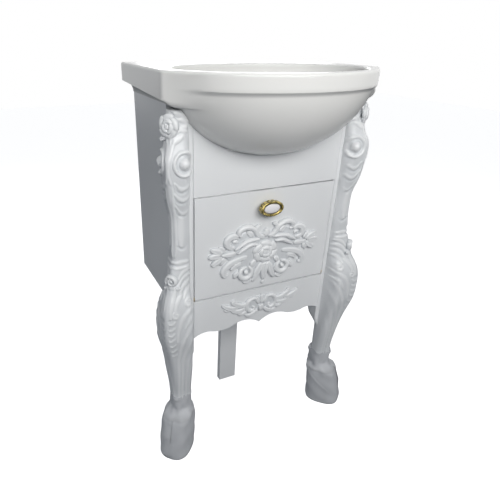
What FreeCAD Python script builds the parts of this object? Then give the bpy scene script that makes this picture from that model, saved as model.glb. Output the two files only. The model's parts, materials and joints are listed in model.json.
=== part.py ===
import FreeCAD, Part
import Sketcher
import os
import re
from math import atan2, cos, pi, radians, sin

from FreeCAD import Matrix, Placement, Rotation, Vector

# A washstand vanity unit: a ceramic basin with a bowed front on a painted cabinet that stands on two
# carved cabriole legs and one plain board leg, with a fall-front door.
# The front faces -Y, +Z is up, and the origin lies on the floor under the middle of the unit.

# Driving dimensions in millimetres: name, size and what it measures
SIZES = (
    ("overall_height", 850, "floor to the basin's rim"),
    ("basin_width", 453, "basin from side to side"),
    ("basin_depth", 387, "wall to the front of the basin's bow"),
    ("slab_height", 58, "rim to the seat on the cabinet"),
    ("slab_face", 35, "upright part of the basin's sides"),
    ("slab_overhang", 12, "basin's front corners in front of the cabinet"),
    ("seat_overhang", 2, "basin's seat beyond the cabinet's side"),
    ("lip_height", 30, "height of the bow's lip"),
    ("lip_step", 4, "lip in front of the bowl"),
    ("deck", 14, "thickness of the tap deck"),
    ("skirt", 18, "wall of the basin's skirt"),
    ("bowl_length", 416, "outside of the bowl from side to side"),
    ("bowl_radius", 153, "outside of the bowl from front to back, halved"),
    ("bowl_wall", 15, "wall of the bowl"),
    ("bowl_setback", 20, "bowl's axis behind the cabinet front"),
    ("bowl_drop", 4, "bowl's axis under the rim"),
    ("tap_hole", 35, "bore for a tap"),
    ("tap_setback", 45, "tap bore to the wall"),
    ("waste_hole", 46, "bore for a waste"),
    ("cabinet_width", 404, "outside of the side panels"),
    ("cabinet_depth", 250, "door face to the wall"),
    ("board", 16, "thickness of the panels"),
    ("cabinet_height", 419, "underside of the cabinet to the basin's seat"),
    ("fascia_height", 167.5, "height of the fascia over the door"),
    ("upper_rail", 80, "height of the upper back rail"),
    ("lower_rail", 60, "height of the lower back rail"),
    ("wall_hole", 8, "bores for the wall screws"),
    ("wall_pitch", 240, "distance between the wall screws"),
    ("scribe", 0.5, "room around the bowl where boards are cut to it"),
    ("post", 37, "width of a leg's post"),
    ("leg_top_gap", 6, "basin's seat to the top of a leg"),
    ("knee", 43, "how far the knee stands out from the front and from the side"),
    ("ridge_round", 9, "rounding of a leg's outer corner"),
    ("step_round", 11, "rounding of a leg's edges beside the post"),
    ("ball", 12.5, "radius of the ball on each face of a leg"),
    ("rose", 19, "radius of the rose on a leg's top corner"),
    ("volute", 11, "radius of the scroll over the knee"),
    ("foot_height", 128, "height of a foot cover"),
    ("foot_length", 100, "foot cover from heel to toe"),
    ("foot_width", 72, "foot cover across"),
    ("cover_wall", 2.5, "wall of a foot cover"),
    ("support_width", 50, "width of the board leg"),
    ("support_setback", 150, "board leg behind the cabinet front"),
    ("bracket_leg", 36, "each leg of the angle bracket"),
    ("bracket_sheet", 2, "sheet of the angle bracket"),
    ("bracket_width", 30, "width of the angle bracket"),
    ("door_gap", 2.2, "gap at the sides of the door"),
    ("door_thickness", 18, "thickness of the door"),
    ("head_gap", 3, "gap between the door and the fascia"),
    ("hinge_gap", 1.5, "gap under the door"),
    ("hinge_inset", 5.5, "hinge axis from the door's face and lower edge"),
    ("apron_drop", 92, "depth of the apron at its points"),
    ("pin", 5, "diameter of a pivot pin"),
    ("pin_hold", 16, "pivot pin inside the door"),
    ("pin_reach", 8, "pivot pin inside its bush"),
    ("pin_play", 0.05, "play around a pivot pin"),
    ("bush_wall", 1.5, "wall of a pivot bush"),
    ("bush_length", 12, "length of a pivot bush in the post"),
    ("bush_flange", 1.2, "thickness of the bush's flange"),
    ("stay_width", 10, "width of a stay's strip"),
    ("stay_sheet", 2, "thickness of a stay's strip"),
    ("stay_inset", 8, "stay's strip from the post"),
    ("stay_clear", 30, "least room between a stay and the lower back rail"),
    ("stay_angle", 91, "sweep of a stay's strip"),
    ("stay_play", 0.5, "play of a stay in its guide"),
    ("stay_plate", 34, "height of the stay's foot on the door"),
    ("stay_plate_width", 14, "width of the stay's foot"),
    ("stop", 3, "radius of the stay's stop"),
    ("guide_length", 8, "stay's guide from front to back"),
    ("guide_height", 40, "height of a stay's guide"),
    ("guide_crown", 5, "guide above its slot"),
    ("guide_gap", 6, "guide behind the closed door"),
    ("catch_width", 40, "width of the magnetic catch"),
    ("catch_height", 34, "height of the magnetic catch"),
    ("catch_depth", 14, "magnetic catch from front to back"),
    ("catch_drop", 14, "magnetic catch below the fascia"),
    ("strike", 1.5, "thickness of the strike plate"),
    ("strike_height", 10, "height of the strike plate"),
    ("catch_play", 0.4, "closed door's strike plate to the catch"),
    ("knob_width", 54, "knob from side to side"),
    ("knob_height", 34, "knob from top to bottom"),
    ("knob_reach", 22, "knob in front of the door"),
    ("knob_bezel", 5, "width of the knob's gilt frame"),
    ("knob_crown", 3, "rise of the porcelain in the knob"),
    ("knob_drop", 35, "door's top edge to the knob's middle"),
    ("screw", 4, "diameter of the screws"),
    ("screw_head", 7.5, "diameter of a screw's head"),
    ("head_height", 2.4, "height of a screw's head"),
    ("screw_length", 14, "length of a wood screw"),
    ("dowel", 8, "diameter of the dowels"),
    ("dowel_length", 30, "length of a dowel"),
    ("dowel_face", 11, "dowel's depth in a board's face"),
    ("dowel_margin", 40, "end of a joint to its dowel"),
    ("carving_width", 268, "door carving from tip to tip"),
    ("carving_foot", 13, "door's lower edge to the carving"),
    ("carving_relief", 11, "door carving's highest point"),
    ("crest_width", 200, "apron carving from tip to tip"),
    ("crest_height", 54, "apron carving from top to bottom"),
    ("crest_drop", 13, "apron's top edge to its carving"),
    ("crest_relief", 8, "apron carving's highest point"),
    ("overrun", 2, "how far cuts run past a surface"),
)

# Shares of the door's height: the stays' radius where the cabinet is deep enough, and the carving
STAY_SHARE = 0.78
CARVING_SHARE = 0.65

# Places worked out from the driving dimensions
PLACES = (
    ("rear", "basin_depth / 2"),
    ("front", "rear - cabinet_depth"),
    ("half", "cabinet_width / 2"),
    ("side_in", "half - board"),
    ("post_in", "half - post"),
    ("post_back", "front + post"),
    ("seat", "overall_height - slab_height"),
    ("seat_x", "half + seat_overhang"),
    ("leg_top", "seat - leg_top_gap"),
    ("bottom_height", "seat - cabinet_height"),
    ("floor_top", "bottom_height + board"),
    ("fascia_foot", "seat - fascia_height"),
    ("door_bottom", "floor_top + hinge_gap"),
    ("door_top", "fascia_foot - head_gap"),
    ("door_height", "door_top - door_bottom"),
    ("door_half", "post_in - door_gap"),
    ("door_back", "front + door_thickness"),
    ("carving_height", f"{CARVING_SHARE} * door_height"),
    ("hinge_y", "front + hinge_inset"),
    ("hinge_z", "door_bottom + hinge_inset"),
    ("stay_reach", "rear - board - hinge_y - stay_clear - stay_width / 2"),
    ("stay_radius", f"min({STAY_SHARE} * door_height; stay_reach)"),
    ("bowl_y", "front + bowl_setback"),
    ("bowl_z", "overall_height - bowl_drop"),
    ("support_y", "front + support_setback"),
    ("stay_x", "post_in - stay_inset - stay_sheet"),
    ("guide_y", "door_back + guide_gap"),
    ("knob_z", "door_top - knob_drop"),
    ("board_middle", "front + board / 2"),
)

doc = FreeCAD.newDocument("VanityUnit")
sheet = doc.addObject("Spreadsheet::Sheet", "Sizes")
for row, (alias, value, meaning) in enumerate(SIZES, 1):
    sheet.set(f"A{row}", alias)
    sheet.set(f"B{row}", str(value))
    sheet.set(f"C{row}", meaning)
    sheet.setAlias(f"B{row}", alias)
doc.recompute()

places = doc.addObject("App::VarSet", "Places")
HOMES = {row[0]: "Sizes" for row in SIZES}


def rule(text):
    """Point each size or place named in an expression at the object that holds it."""
    def at_home(word):
        return f"{HOMES[word[0]]}.{word[0]}" if word[0] in HOMES else word[0]

    return re.sub(r"[a-z][a-z_]+", at_home, text)


for place, text in PLACES:
    places.addProperty("App::PropertyFloat", place)
    places.setExpression(place, rule(text).replace("Places.", ""))
    HOMES[place] = "Places"
doc.recompute()


def get(name):
    """The number that a size or place has now."""
    holder = sheet if HOMES[name] == "Sizes" else places
    return float(getattr(holder, name))


nodes = {}


def node(name, item):
    """Name an object after the piece that it is."""
    item.Label = name
    nodes[name] = item
    return item


def bind(item, **rules):
    """Bind properties of an object to expressions of sizes."""
    for prop, text in rules.items():
        item.setExpression(prop, rule(text))
    return item


def place(item, x, y, z):
    """Bind an object's position to expressions of sizes."""
    for axis, text in (("x", x), ("y", y), ("z", z)):
        item.setExpression(f".Placement.Base.{axis}", rule(text))
    return item


def box(name, length, width, height, x, y, z):
    item = bind(doc.addObject("Part::Box", name), Length=length, Width=width, Height=height)
    return place(item, x, y, z)


TURNS = {"x": Rotation(Vector(0, 1, 0), 90), "y": Rotation(Vector(1, 0, 0), -90), "z": Rotation()}


def rod(name, radius, length, axis, x, y, z):
    """A cylinder that runs from a point along an axis."""
    item = bind(doc.addObject("Part::Cylinder", name), Radius=radius, Height=length)
    item.Placement = Placement(Vector(), TURNS[axis])
    return place(item, x, y, z)


def cut(name, base, *tools):
    for count, tool in enumerate(tools):
        item = doc.addObject("Part::Cut", f"{name}_{count}")
        item.Base = base
        item.Tool = tool
        base = item
    return base


def fuse(name, *items):
    item = doc.addObject("Part::MultiFuse", name)
    item.Shapes = list(items)
    return item


def group(name, *items):
    """Separate solids that share a node."""
    item = doc.addObject("Part::Compound", name)
    item.Links = list(items)
    return item


def mirrored(name, source):
    """The left-hand twin of a right-hand piece."""
    item = doc.addObject("Part::Mirroring", name)
    item.Source = source
    item.Normal = Vector(1, 0, 0)
    return item


def solid(name, shape):
    """A sculpted piece whose shape is worked out from the sheet's values."""
    item = doc.addObject("Part::Feature", name)
    item.Shape = shape
    return item


def arc_of(first, middle, last):
    """A sketch's arc through three points, and whether it runs from first to last."""
    circle = Part.Arc(first, middle, last).toShape().Curve
    centre = circle.Center
    angles = [atan2(point.y - centre.y, point.x - centre.x) for point in (first, middle, last)]
    turn = 2 * pi
    forward = (angles[1] - angles[0]) % turn < (angles[2] - angles[0]) % turn
    begin, end = (angles[0], angles[2]) if forward else (angles[2], angles[0])
    if end < begin:
        end += turn
    return Part.ArcOfCircle(Part.Circle(centre, Vector(0, 0, 1), circle.Radius), begin, end), forward


def value_of(text):
    """The number that an expression of sizes comes to."""
    places.setExpression("scratch", rule(text).replace("Places.", ""))
    places.recompute()
    return places.scratch


places.addProperty("App::PropertyFloat", "scratch")


def outline(body, name, role, corners):
    """A closed sketch through corners given as expressions; a third one makes the next edge an arc.

    The third expression is the arc's rise, to the left of the edge's direction.
    """
    sketch = body.newObject("Sketcher::SketchObject", name)
    plane = next(item for item in body.Origin.OriginFeatures if item.Role == role)
    sketch.AttachmentSupport = (plane, [""])
    sketch.MapMode = "FlatFace"
    points = [Vector(value_of(corner[0]), value_of(corner[1]), 0) for corner in corners]
    count = len(points)
    ends = []
    for index, corner in enumerate(corners):
        here, there = points[index], points[(index + 1) % count]
        forward = True
        if len(corner) == 3:
            chord = there - here
            side = Vector(-chord.y, chord.x, 0).normalize()
            shape, forward = arc_of(here, (here + there) / 2 + side * value_of(corner[2]), there)
            sketch.addGeometry(shape)
        else:
            sketch.addGeometry(Part.LineSegment(here, there))
        ends.append((1, 2) if forward else (2, 1))
    for index in range(count):
        after = (index + 1) % count
        sketch.addConstraint(Sketcher.Constraint("Coincident", index, ends[index][1], after, ends[after][0]))
    for index, corner in enumerate(corners):
        for kind, text, number in zip(("DistanceX", "DistanceY"), corner, points[index]):
            key = sketch.addConstraint(Sketcher.Constraint(kind, -1, 1, index, ends[index][0], number))
            sketch.setExpression(f"Constraints[{key}]", rule(text))
        if len(corner) == 3:
            follow = corners[(index + 1) % count]
            across = f"(({follow[0]}) - ({corner[0]}))"
            along = f"(({follow[1]}) - ({corner[1]}))"
            rise = f"abs({corner[2]})"
            radius = f"({across} ^ 2 + {along} ^ 2) / (8 * {rise}) + {rise} / 2"
            key = sketch.addConstraint(Sketcher.Constraint("Radius", index, sketch.Geometry[index].Radius))
            sketch.setExpression(f"Constraints[{key}]", rule(radius))
    return sketch


def padded(name, role, corners, length, both=False, back=False):
    """A body padded from one outline."""
    body = doc.addObject("PartDesign::Body", name)
    sketch = outline(body, f"{name}_outline", role, corners)
    pad = body.newObject("PartDesign::Pad", f"{name}_pad")
    pad.Profile = sketch
    pad.Midplane = both
    pad.Reversed = back
    bind(pad, Length=length)
    return body


def ellipsoid(name, grow, low=False):
    """The bowl's spheroid, made larger by an expression; low keeps its lower half."""
    item = bind(
        doc.addObject("Part::Ellipsoid", name),
        Radius1=f"bowl_radius + {grow}",
        Radius2=f"bowl_length / 2 + {grow}",
        Radius3=f"bowl_radius + {grow}",
    )
    if low:
        item.Angle2 = 0
    return place(item, "0", "bowl_y", "bowl_z")


# Dowels: every hidden joint of the cabinet, right side first
def dowel(name, axis, x, y, z):
    return rod(name, "dowel / 2", "dowel_length", axis, x, y, z)


INTO_SIDE = "side_in + dowel_face - dowel_length"
INTO_POST = "post_in + dowel_face - dowel_length"
UPPER_MIDDLE = "seat - upper_rail / 2"
POST_DOWEL_Y = "post_back - dowel_length / 2"
dowels_right = group(
    "dowels_right",
    dowel("dowel_floor_front", "x", INTO_SIDE, "post_back + dowel_margin", "bottom_height + board / 2"),
    dowel("dowel_floor_rear", "x", INTO_SIDE, "rear - dowel_margin", "bottom_height + board / 2"),
    dowel("dowel_upper_rail", "x", INTO_SIDE, "rear - board / 2", UPPER_MIDDLE),
    dowel("dowel_lower_rail", "x", INTO_SIDE, "rear - board / 2", "floor_top + lower_rail / 2"),
    dowel("dowel_fascia", "x", INTO_POST, "board_middle", "fascia_foot + dowel_margin"),
    dowel("dowel_apron_top", "x", INTO_POST, "board_middle", "floor_top - dowel_margin / 2"),
    dowel("dowel_apron_foot", "x", INTO_POST, "board_middle", "floor_top - apron_drop + dowel_margin"),
    dowel("dowel_post_foot", "y", "half - board / 2", POST_DOWEL_Y, "floor_top + dowel_margin"),
    dowel("dowel_post_middle", "y", "half - board / 2", POST_DOWEL_Y, "(floor_top + seat) / 2"),
    dowel("dowel_post_top", "y", "half - board / 2", POST_DOWEL_Y, "seat - 2 * dowel_margin"),
)
dowels_left = mirrored("dowels_left", dowels_right)
dowels = node("joint_dowels", group("joint_dowels", dowels_right, dowels_left))

# Basin: a hollow slab with coved sides, a bowed lip and a spheroid bowl
slab = padded(
    "slab",
    "XZ_Plane",
    (
        ("-basin_width / 2", "overall_height - slab_face", "(basin_width / 2 - seat_x) * (1 - sqrt(0.5))"),
        ("-seat_x", "seat"),
        ("seat_x", "seat", "(basin_width / 2 - seat_x) * (1 - sqrt(0.5))"),
        ("basin_width / 2", "overall_height - slab_face"),
        ("basin_width / 2", "overall_height"),
        ("-basin_width / 2", "overall_height"),
    ),
    "cabinet_depth + slab_overhang",
)
place(slab, "0", "rear", "0")
hollow = box(
    "slab_hollow",
    "2 * (seat_x - skirt)",
    "cabinet_depth + slab_overhang - 2 * skirt",
    "slab_height - deck + overrun",
    "skirt - seat_x",
    "front - slab_overhang + skirt",
    "seat - overrun",
)
bow = bind(
    doc.addObject("Part::Ellipse", "bow"),
    MajorRadius="bowl_length / 2 + lip_step",
    MinorRadius="bowl_radius + lip_step",
)
place(bow, "0", "bowl_y", "overall_height - lip_height")
lip = doc.addObject("Part::Extrusion", "lip")
lip.Base = bow
lip.DirMode = "Custom"
lip.Dir = Vector(0, 0, 1)
lip.Solid = True
bind(lip, LengthFwd="lip_height")
blank = fuse("basin_blank", cut("slab_shell", slab, hollow), lip, ellipsoid("bowl_outside", "0", low=True))
tap_bore = rod("tap_bore", "tap_hole / 2", "deck + 2 * overrun", "z", "0", "rear - tap_setback",
               "overall_height - deck - overrun")
waste_bore = rod("waste_bore", "waste_hole / 2", "2 * bowl_wall + overrun", "z", "0", "bowl_y",
                 "bowl_z - bowl_radius - overrun")
node("basin", cut("basin", blank, ellipsoid("bowl_inside", "(-bowl_wall)"), tap_bore, waste_bore))

# Carcase: side panels, bottom and back rails, with the bowl's room cut out of what it meets
bowl_room = ellipsoid("bowl_room", "scribe")
side = box("side", "board", "cabinet_depth - post", "seat - bottom_height", "side_in", "post_back",
           "bottom_height")
side_right = node("side_panel_right", cut("side_panel_right", side, dowels, bowl_room))
node("side_panel_left", mirrored("side_panel_left", side_right))
floor = padded(
    "floor",
    "XY_Plane",
    (
        ("-side_in", "rear"),
        ("-side_in", "post_back"),
        ("-post_in", "post_back"),
        ("-post_in", "front + board"),
        ("post_in", "front + board"),
        ("post_in", "post_back"),
        ("side_in", "post_back"),
        ("side_in", "rear"),
    ),
    "board",
)
place(floor, "0", "0", "bottom_height")
upper = box("upper", "2 * side_in", "board", "upper_rail", "-side_in", "rear - board", "seat - upper_rail")
wall_bores = group(
    "wall_bores",
    *(
        rod(f"wall_bore_{side}", "wall_hole / 2", "board + 2 * overrun", "y", f"{sign} * wall_pitch / 2",
            "rear - board - overrun", UPPER_MIDDLE)
        for side, sign in (("left", "-1"), ("right", "1"))
    ),
)
node("upper_back_rail", cut("upper_back_rail", upper, dowels, wall_bores))
lower = box("lower", "2 * side_in", "board", "lower_rail", "-side_in", "rear - board", "floor_top")
node("lower_back_rail", cut("lower_back_rail", lower, dowels))

# Front: the fascia under the basin and the scalloped apron under the door
fascia = box("fascia", "2 * post_in", "board", "seat - fascia_foot", "-post_in", "front", "fascia_foot")

# Scallops along half of the apron: places from its middle, depths from its top, and each arc's rise
SCALLOP_SHARES = ((0, 1), (0.45, 0.93), (0.71, 0.945), (1, 1))
RISE_SHARES = (0.125, -0.03, 0.065)


def scallops():
    """The apron's lower edge from the left post to the right one."""
    right = [(f"{across} * post_in", f"floor_top - {depth} * apron_drop") for across, depth in SCALLOP_SHARES]
    left = [(f"-{across} * post_in", depth) for (across, _), (_, depth) in zip(SCALLOP_SHARES, right)]
    run = left[:0:-1] + right
    rises = RISE_SHARES[::-1] + RISE_SHARES
    arcs = [(*corner, f"{rise} * apron_drop") for corner, rise in zip(run, rises)]
    return (*arcs, run[-1])


apron = padded(
    "apron",
    "XZ_Plane",
    (*scallops(), ("post_in", "floor_top"), ("-post_in", "floor_top")),
    "board",
    back=True,
)
place(apron, "0", "front", "0")

# Screws with round heads, which stand on a surface and reach into it
def screw(name, axis, sign, x, y, z, shank="screw_length"):
    """A screw along an axis; sign says which way its shank points from the head's seat."""
    spots = {"x": x, "y": y, "z": z}
    ends = {}
    for part, length in (("shank", shank), ("head", "head_height")):
        along = f"({length})"
        back = (part == "shank") == (sign < 0)
        ends[part] = dict(spots)
        if back:
            ends[part][axis] = f"{spots[axis]} - {along}"
    shaft = rod(f"{name}_shank", "screw / 2", shank, axis, *ends["shank"].values())
    head = rod(f"{name}_head", "screw_head / 2", "head_height", axis, *ends["head"].values())
    return fuse(name, shaft, head)


# Board leg with its angle bracket under the cabinet; the share places the screws along the bracket's legs
SUPPORT_BACK = "support_y + board"
BRACKET_SCREW_SHARE = 0.7
BRACKET_SCREW = f"{BRACKET_SCREW_SHARE} * bracket_leg"
bracket_rise = box("bracket_rise", "bracket_width", "bracket_sheet", "bracket_leg", "-bracket_width / 2",
                   SUPPORT_BACK, "bottom_height - bracket_leg")
bracket_run = box("bracket_run", "bracket_width", "bracket_leg", "bracket_sheet", "-bracket_width / 2",
                  SUPPORT_BACK, "bottom_height - bracket_sheet")
bracket_screws = group(
    "bracket_screws",
    *(
        screw(f"bracket_{kind}_{hand}", axis, sign, f"{side} * bracket_width / 4", y, z,
              "board / 2 + bracket_sheet")
        for hand, side in (("left", "-1"), ("right", "1"))
        for kind, axis, sign, y, z in (
            ("rise", "y", -1, f"{SUPPORT_BACK} + bracket_sheet", f"bottom_height - {BRACKET_SCREW}"),
            ("run", "z", 1, f"{SUPPORT_BACK} + {BRACKET_SCREW}", "bottom_height - bracket_sheet"),
        )
    ),
)
node("support_bracket_screws", bracket_screws)
bracket_angle = fuse("bracket_angle", bracket_rise, bracket_run)
node("support_bracket", cut("support_bracket", bracket_angle, bracket_screws))
support = box("support", "support_width", "board", "bottom_height", "-support_width / 2", "support_y", "0")
node("board_leg", cut("board_leg", support, bracket_screws))
node("bottom_panel", cut("bottom_panel", floor, dowels, bracket_screws))

# Carved legs: rounded square sections from the foot to the top, toed out on the diagonal at the foot.
# Each row: height, ridge beyond the cabinet's corner, inner edge inside it, and how far that edge is forward.
LEG_SHARES = (
    (0.000, 0.81, 0.27, 0.44),
    (0.075, 0.67, 0.38, 0.41),
    (0.130, 0.41, 0.46, 0.31),
    (0.180, 0.31, 0.52, 0.31),
    (0.226, 0.32, 0.52, 0.32),
    (0.274, 0.45, 0.58, 0.45),
    (0.318, 0.60, 0.68, 0.60),
    (0.382, 0.77, 0.73, 0.77),
    (0.440, 0.98, 0.73, 0.98),
    (0.509, 0.98, 0.73, 0.98),
    (0.546, 0.78, 0.73, 0.78),
    (0.579, 0.57, 0.73, 0.57),
    (0.623, 0.36, 0.73, 0.36),
    (0.655, 0.30, 0.73, 0.30),
    (0.712, 0.27, 0.73, 0.27),
    (0.763, 0.32, 0.73, 0.32),
    (0.814, 0.50, 0.73, 0.50),
    (0.884, 0.57, 0.73, 0.57),
    (0.941, 0.31, 0.73, 0.31),
    (1.000, 0.14, 0.73, 0.14),
)
LOFT_DEGREE = 3
# Plain post behind the carving, flush with the boards and drawn in to the leg at its foot.
# Each row: height and width.
POST_SHARES = ((0.271, 0.54), (0.303, 0.76), (0.322, 0.95), (0.331, 1.00), (1.000, 1.00))


def corner_point(across, forward, height):
    """A point given from the cabinet's front right corner, outward and forward."""
    return Vector(get("half") + across, get("front") - forward, height)


def rounded_wire(corners):
    """A closed outline through corners, each given with the length of its sides that its rounding takes."""
    edges = []
    for index, (corner, taken) in enumerate(corners):
        before = (corners[index - 1][0] - corner).normalize()
        after = (corners[(index + 1) % len(corners)][0] - corner).normalize()
        start = corner + before * taken
        end = corner + after * taken
        if taken:
            bend = before.getAngle(after) / 2
            crown = corner + (before + after).normalize() * taken * (1 - sin(bend)) / cos(bend)
            edges.append(Part.Arc(start, crown, end).toShape())
        following = corners[(index + 1) % len(corners)]
        onward = following[0] - after * following[1]
        edges.append(Part.LineSegment(end, onward).toShape())
    return Part.Wire(edges)


def leg_section(height, ridge, inner, lead):
    """One section of a leg, with its outer corner and the edges beside the post rounded."""
    return rounded_wire((
        (corner_point(-inner, -inner, height), 0),
        (corner_point(-inner, lead, height), get("step_round")),
        (corner_point(ridge, ridge, height), get("ridge_round")),
        (corner_point(lead, -inner, height), get("step_round")),
    ))


def post_section(height, width):
    """One section of the plain post in the cabinet's corner."""
    return rounded_wire(tuple(
        (corner_point(across, forward, height), 0)
        for across, forward in ((-width, -width), (-width, 0), (0, 0), (0, -width))
    ))


# Heights of the leg's ornaments as shares of its height; places as shares of their radius or of the post
ROSE_SHARE = 0.967
ROSE_PLACE_SHARES = (0.47, -0.26)
BALL_SHARE = 0.889
BALL_ACROSS_SHARE = 0.33
VOLUTE_SHARE = 0.576
VOLUTE_SINK_SHARE = 0.66


def leg_ridge(share):
    """How far the leg stands out at a share of its height, from the front and from the side."""
    for low, high in zip(LEG_SHARES, LEG_SHARES[1:]):
        if share <= high[0]:
            return get("knee") * (low[1] + (high[1] - low[1]) * (share - low[0]) / (high[0] - low[0]))
    return get("knee") * LEG_SHARES[-1][1]


def leg_solid():
    """A cabriole leg with its rose, balls and volute."""
    base = get("cover_wall")
    rise = get("leg_top") - base
    knee, post = get("knee"), get("post")
    wires = [
        leg_section(base + tall * rise, ridge * knee, inner * post, lead * knee)
        for tall, ridge, inner, lead in LEG_SHARES
    ]
    leg = Part.makeLoft(wires, True, False, False, LOFT_DEGREE)
    posts = [post_section(base + tall * rise, width * post) for tall, width in POST_SHARES]
    leg = leg.fuse(Part.makeLoft(posts, True, True))
    rose, ball, volute = get("rose"), get("ball"), get("volute")
    out, back = (share * rose for share in ROSE_PLACE_SHARES)
    leg = leg.fuse(Part.makeSphere(rose, corner_point(out, back, base + ROSE_SHARE * rise)))
    out = leg_ridge(BALL_SHARE) - ball / 2
    aside = -BALL_ACROSS_SHARE * post
    for across, forward in ((aside, out), (out, aside)):
        leg = leg.fuse(Part.makeSphere(ball, corner_point(across, forward, base + BALL_SHARE * rise)))
    curl = leg_ridge(VOLUTE_SHARE) - VOLUTE_SINK_SHARE * volute
    along = Vector(1, 1, 0).normalize()
    middle = corner_point(curl, curl, base + VOLUTE_SHARE * rise)
    roll = Part.makeCylinder(volute, 2 * volute, middle - along * volute, along)
    return leg.fuse(roll).removeSplitter()


# Pivot: a flanged bush in each post, and a pin in each end of the door
bush_barrel = rod("bush_barrel", "pin / 2 + pin_play + bush_wall", "bush_length", "x", "post_in", "hinge_y",
                  "hinge_z")
bush_rim = rod("bush_rim", "pin / 2 + pin_play + 2 * bush_wall", "bush_flange", "x", "post_in - bush_flange",
               "hinge_y", "hinge_z")
bush_blank = fuse("bush_blank", bush_barrel, bush_rim)
bush_bore = rod("bush_bore", "pin / 2 + pin_play", "bush_length + 2 * bush_flange", "x",
                "post_in - 2 * bush_flange", "hinge_y", "hinge_z")
bush_right = node("pivot_bush_right", cut("pivot_bush_right", bush_blank, bush_bore))
node("pivot_bush_left", mirrored("pivot_bush_left", bush_right))

# Stay guide: a block on the post with a curved slot, held by one screw
STAY_MIDDLE = "(stay_x + stay_sheet / 2)"
GUIDE_TOP = "hinge_z + stay_radius + stay_width / 2 + guide_crown"
GUIDE_IN = "post_in - 2 * stay_inset - stay_sheet"
guide_block = box("guide_block", "2 * stay_inset + stay_sheet", "guide_length", "guide_height", GUIDE_IN,
                  "guide_y", GUIDE_TOP + " - guide_height")
guide_screw = screw("guide_screw", "x", 1, GUIDE_IN, "guide_y + guide_length / 2",
                    GUIDE_TOP + " - guide_height + screw_head", "2 * stay_inset + stay_sheet + board / 2")
guide_screw_left = mirrored("guide_screw_left", guide_screw)
guide_screws = node("guide_screws", group("guide_screws", guide_screw, guide_screw_left))
slot_outer = rod("slot_outer", "stay_radius + stay_width / 2 + stay_play", "stay_sheet + 2 * stay_play", "x",
                 "stay_x - stay_play", "hinge_y", "hinge_z")
slot_inner = rod("slot_inner", "stay_radius - stay_width / 2 - stay_play", "stay_sheet + 2 * stay_play", "x",
                 "stay_x - stay_play", "hinge_y", "hinge_z")
guide_slot = cut("guide_slot", slot_outer, slot_inner)
guide_right = node("stay_guide_right", cut("stay_guide_right", guide_block, guide_slot, guide_screw))
node("stay_guide_left", mirrored("stay_guide_left", guide_right))

leg = solid("leg", leg_solid())
# The post's planed faces: nothing of the leg lies inside the boards or behind the post
planed = fuse(
    "planed",
    box("planed_side", "post", "2 * post", "overall_height", "post_in - post", "front - post", "0"),
    box("planed_back", "2 * post", "post", "overall_height", "post_in - post", "post_back", "0"),
)
leg_cuts = (planed, dowels, bush_barrel, guide_screw, bowl_room)
leg_right = node("front_leg_right", cut("front_leg_right", leg, *leg_cuts))
node("front_leg_left", mirrored("front_leg_left", leg_right))
node("apron_panel", cut("apron_panel", apron, dowels))

# Foot covers: plain boots around the feet.
# Each row: height, middle on the diagonal beyond the corner, half length and half width.
FOOT_SHARES = (
    (0.00, 0.156, 0.47, 0.46),
    (0.11, 0.156, 0.50, 0.50),
    (0.47, 0.090, 0.42, 0.46),
    (0.74, 0.020, 0.325, 0.41),
    (1.00, -0.045, 0.29, 0.375),
)


def boot(inset, first, last):
    """A loft of ellipses along the foot, drawn in by an inset, between two added heights."""
    length, width, tall = get("foot_length"), get("foot_width"), get("foot_height")
    along = Vector(1, -1, 0).normalize()
    wires = []
    for index, (height, middle, half_long, half_wide) in enumerate(FOOT_SHARES):
        extra = {0: first, len(FOOT_SHARES) - 1: last}.get(index, 0)
        centre = corner_point(middle * length, middle * length, height * tall + extra)
        heel_to_toe = along * (half_long * length - inset)
        across = Vector(1, 1, 0).normalize() * (half_wide * width - inset)
        edge = Part.Ellipse(centre + heel_to_toe, centre + across, centre).toShape()
        wires.append(Part.Wire([edge]))
    return Part.makeLoft(wires, True)


wall = get("cover_wall")
cover = boot(0, 0, 0).cut(boot(wall, wall, get("overrun")))
cover_right = node("foot_cover_right", solid("foot_cover_right", cover))
node("foot_cover_left", mirrored("foot_cover_left", cover_right))

# Door: a board with a rounded lower edge, pivoted at its foot
CORNER_RISE = "hinge_inset * (1 - sqrt(0.5))"
door = padded(
    "door",
    "YZ_Plane",
    (
        ("front", "hinge_z", CORNER_RISE + " * -1"),
        ("hinge_y", "door_bottom"),
        ("door_back", "door_bottom"),
        ("door_back", "door_top"),
        ("front", "door_top"),
    ),
    "2 * door_half",
    both=True,
)
pin_right = rod("pin_right", "pin / 2", "pin_hold + door_gap + pin_reach", "x", "door_half - pin_hold",
                "hinge_y", "hinge_z")
pins = node("pivot_pins", group("pivot_pins", pin_right, mirrored("pin_left", pin_right)))

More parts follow.
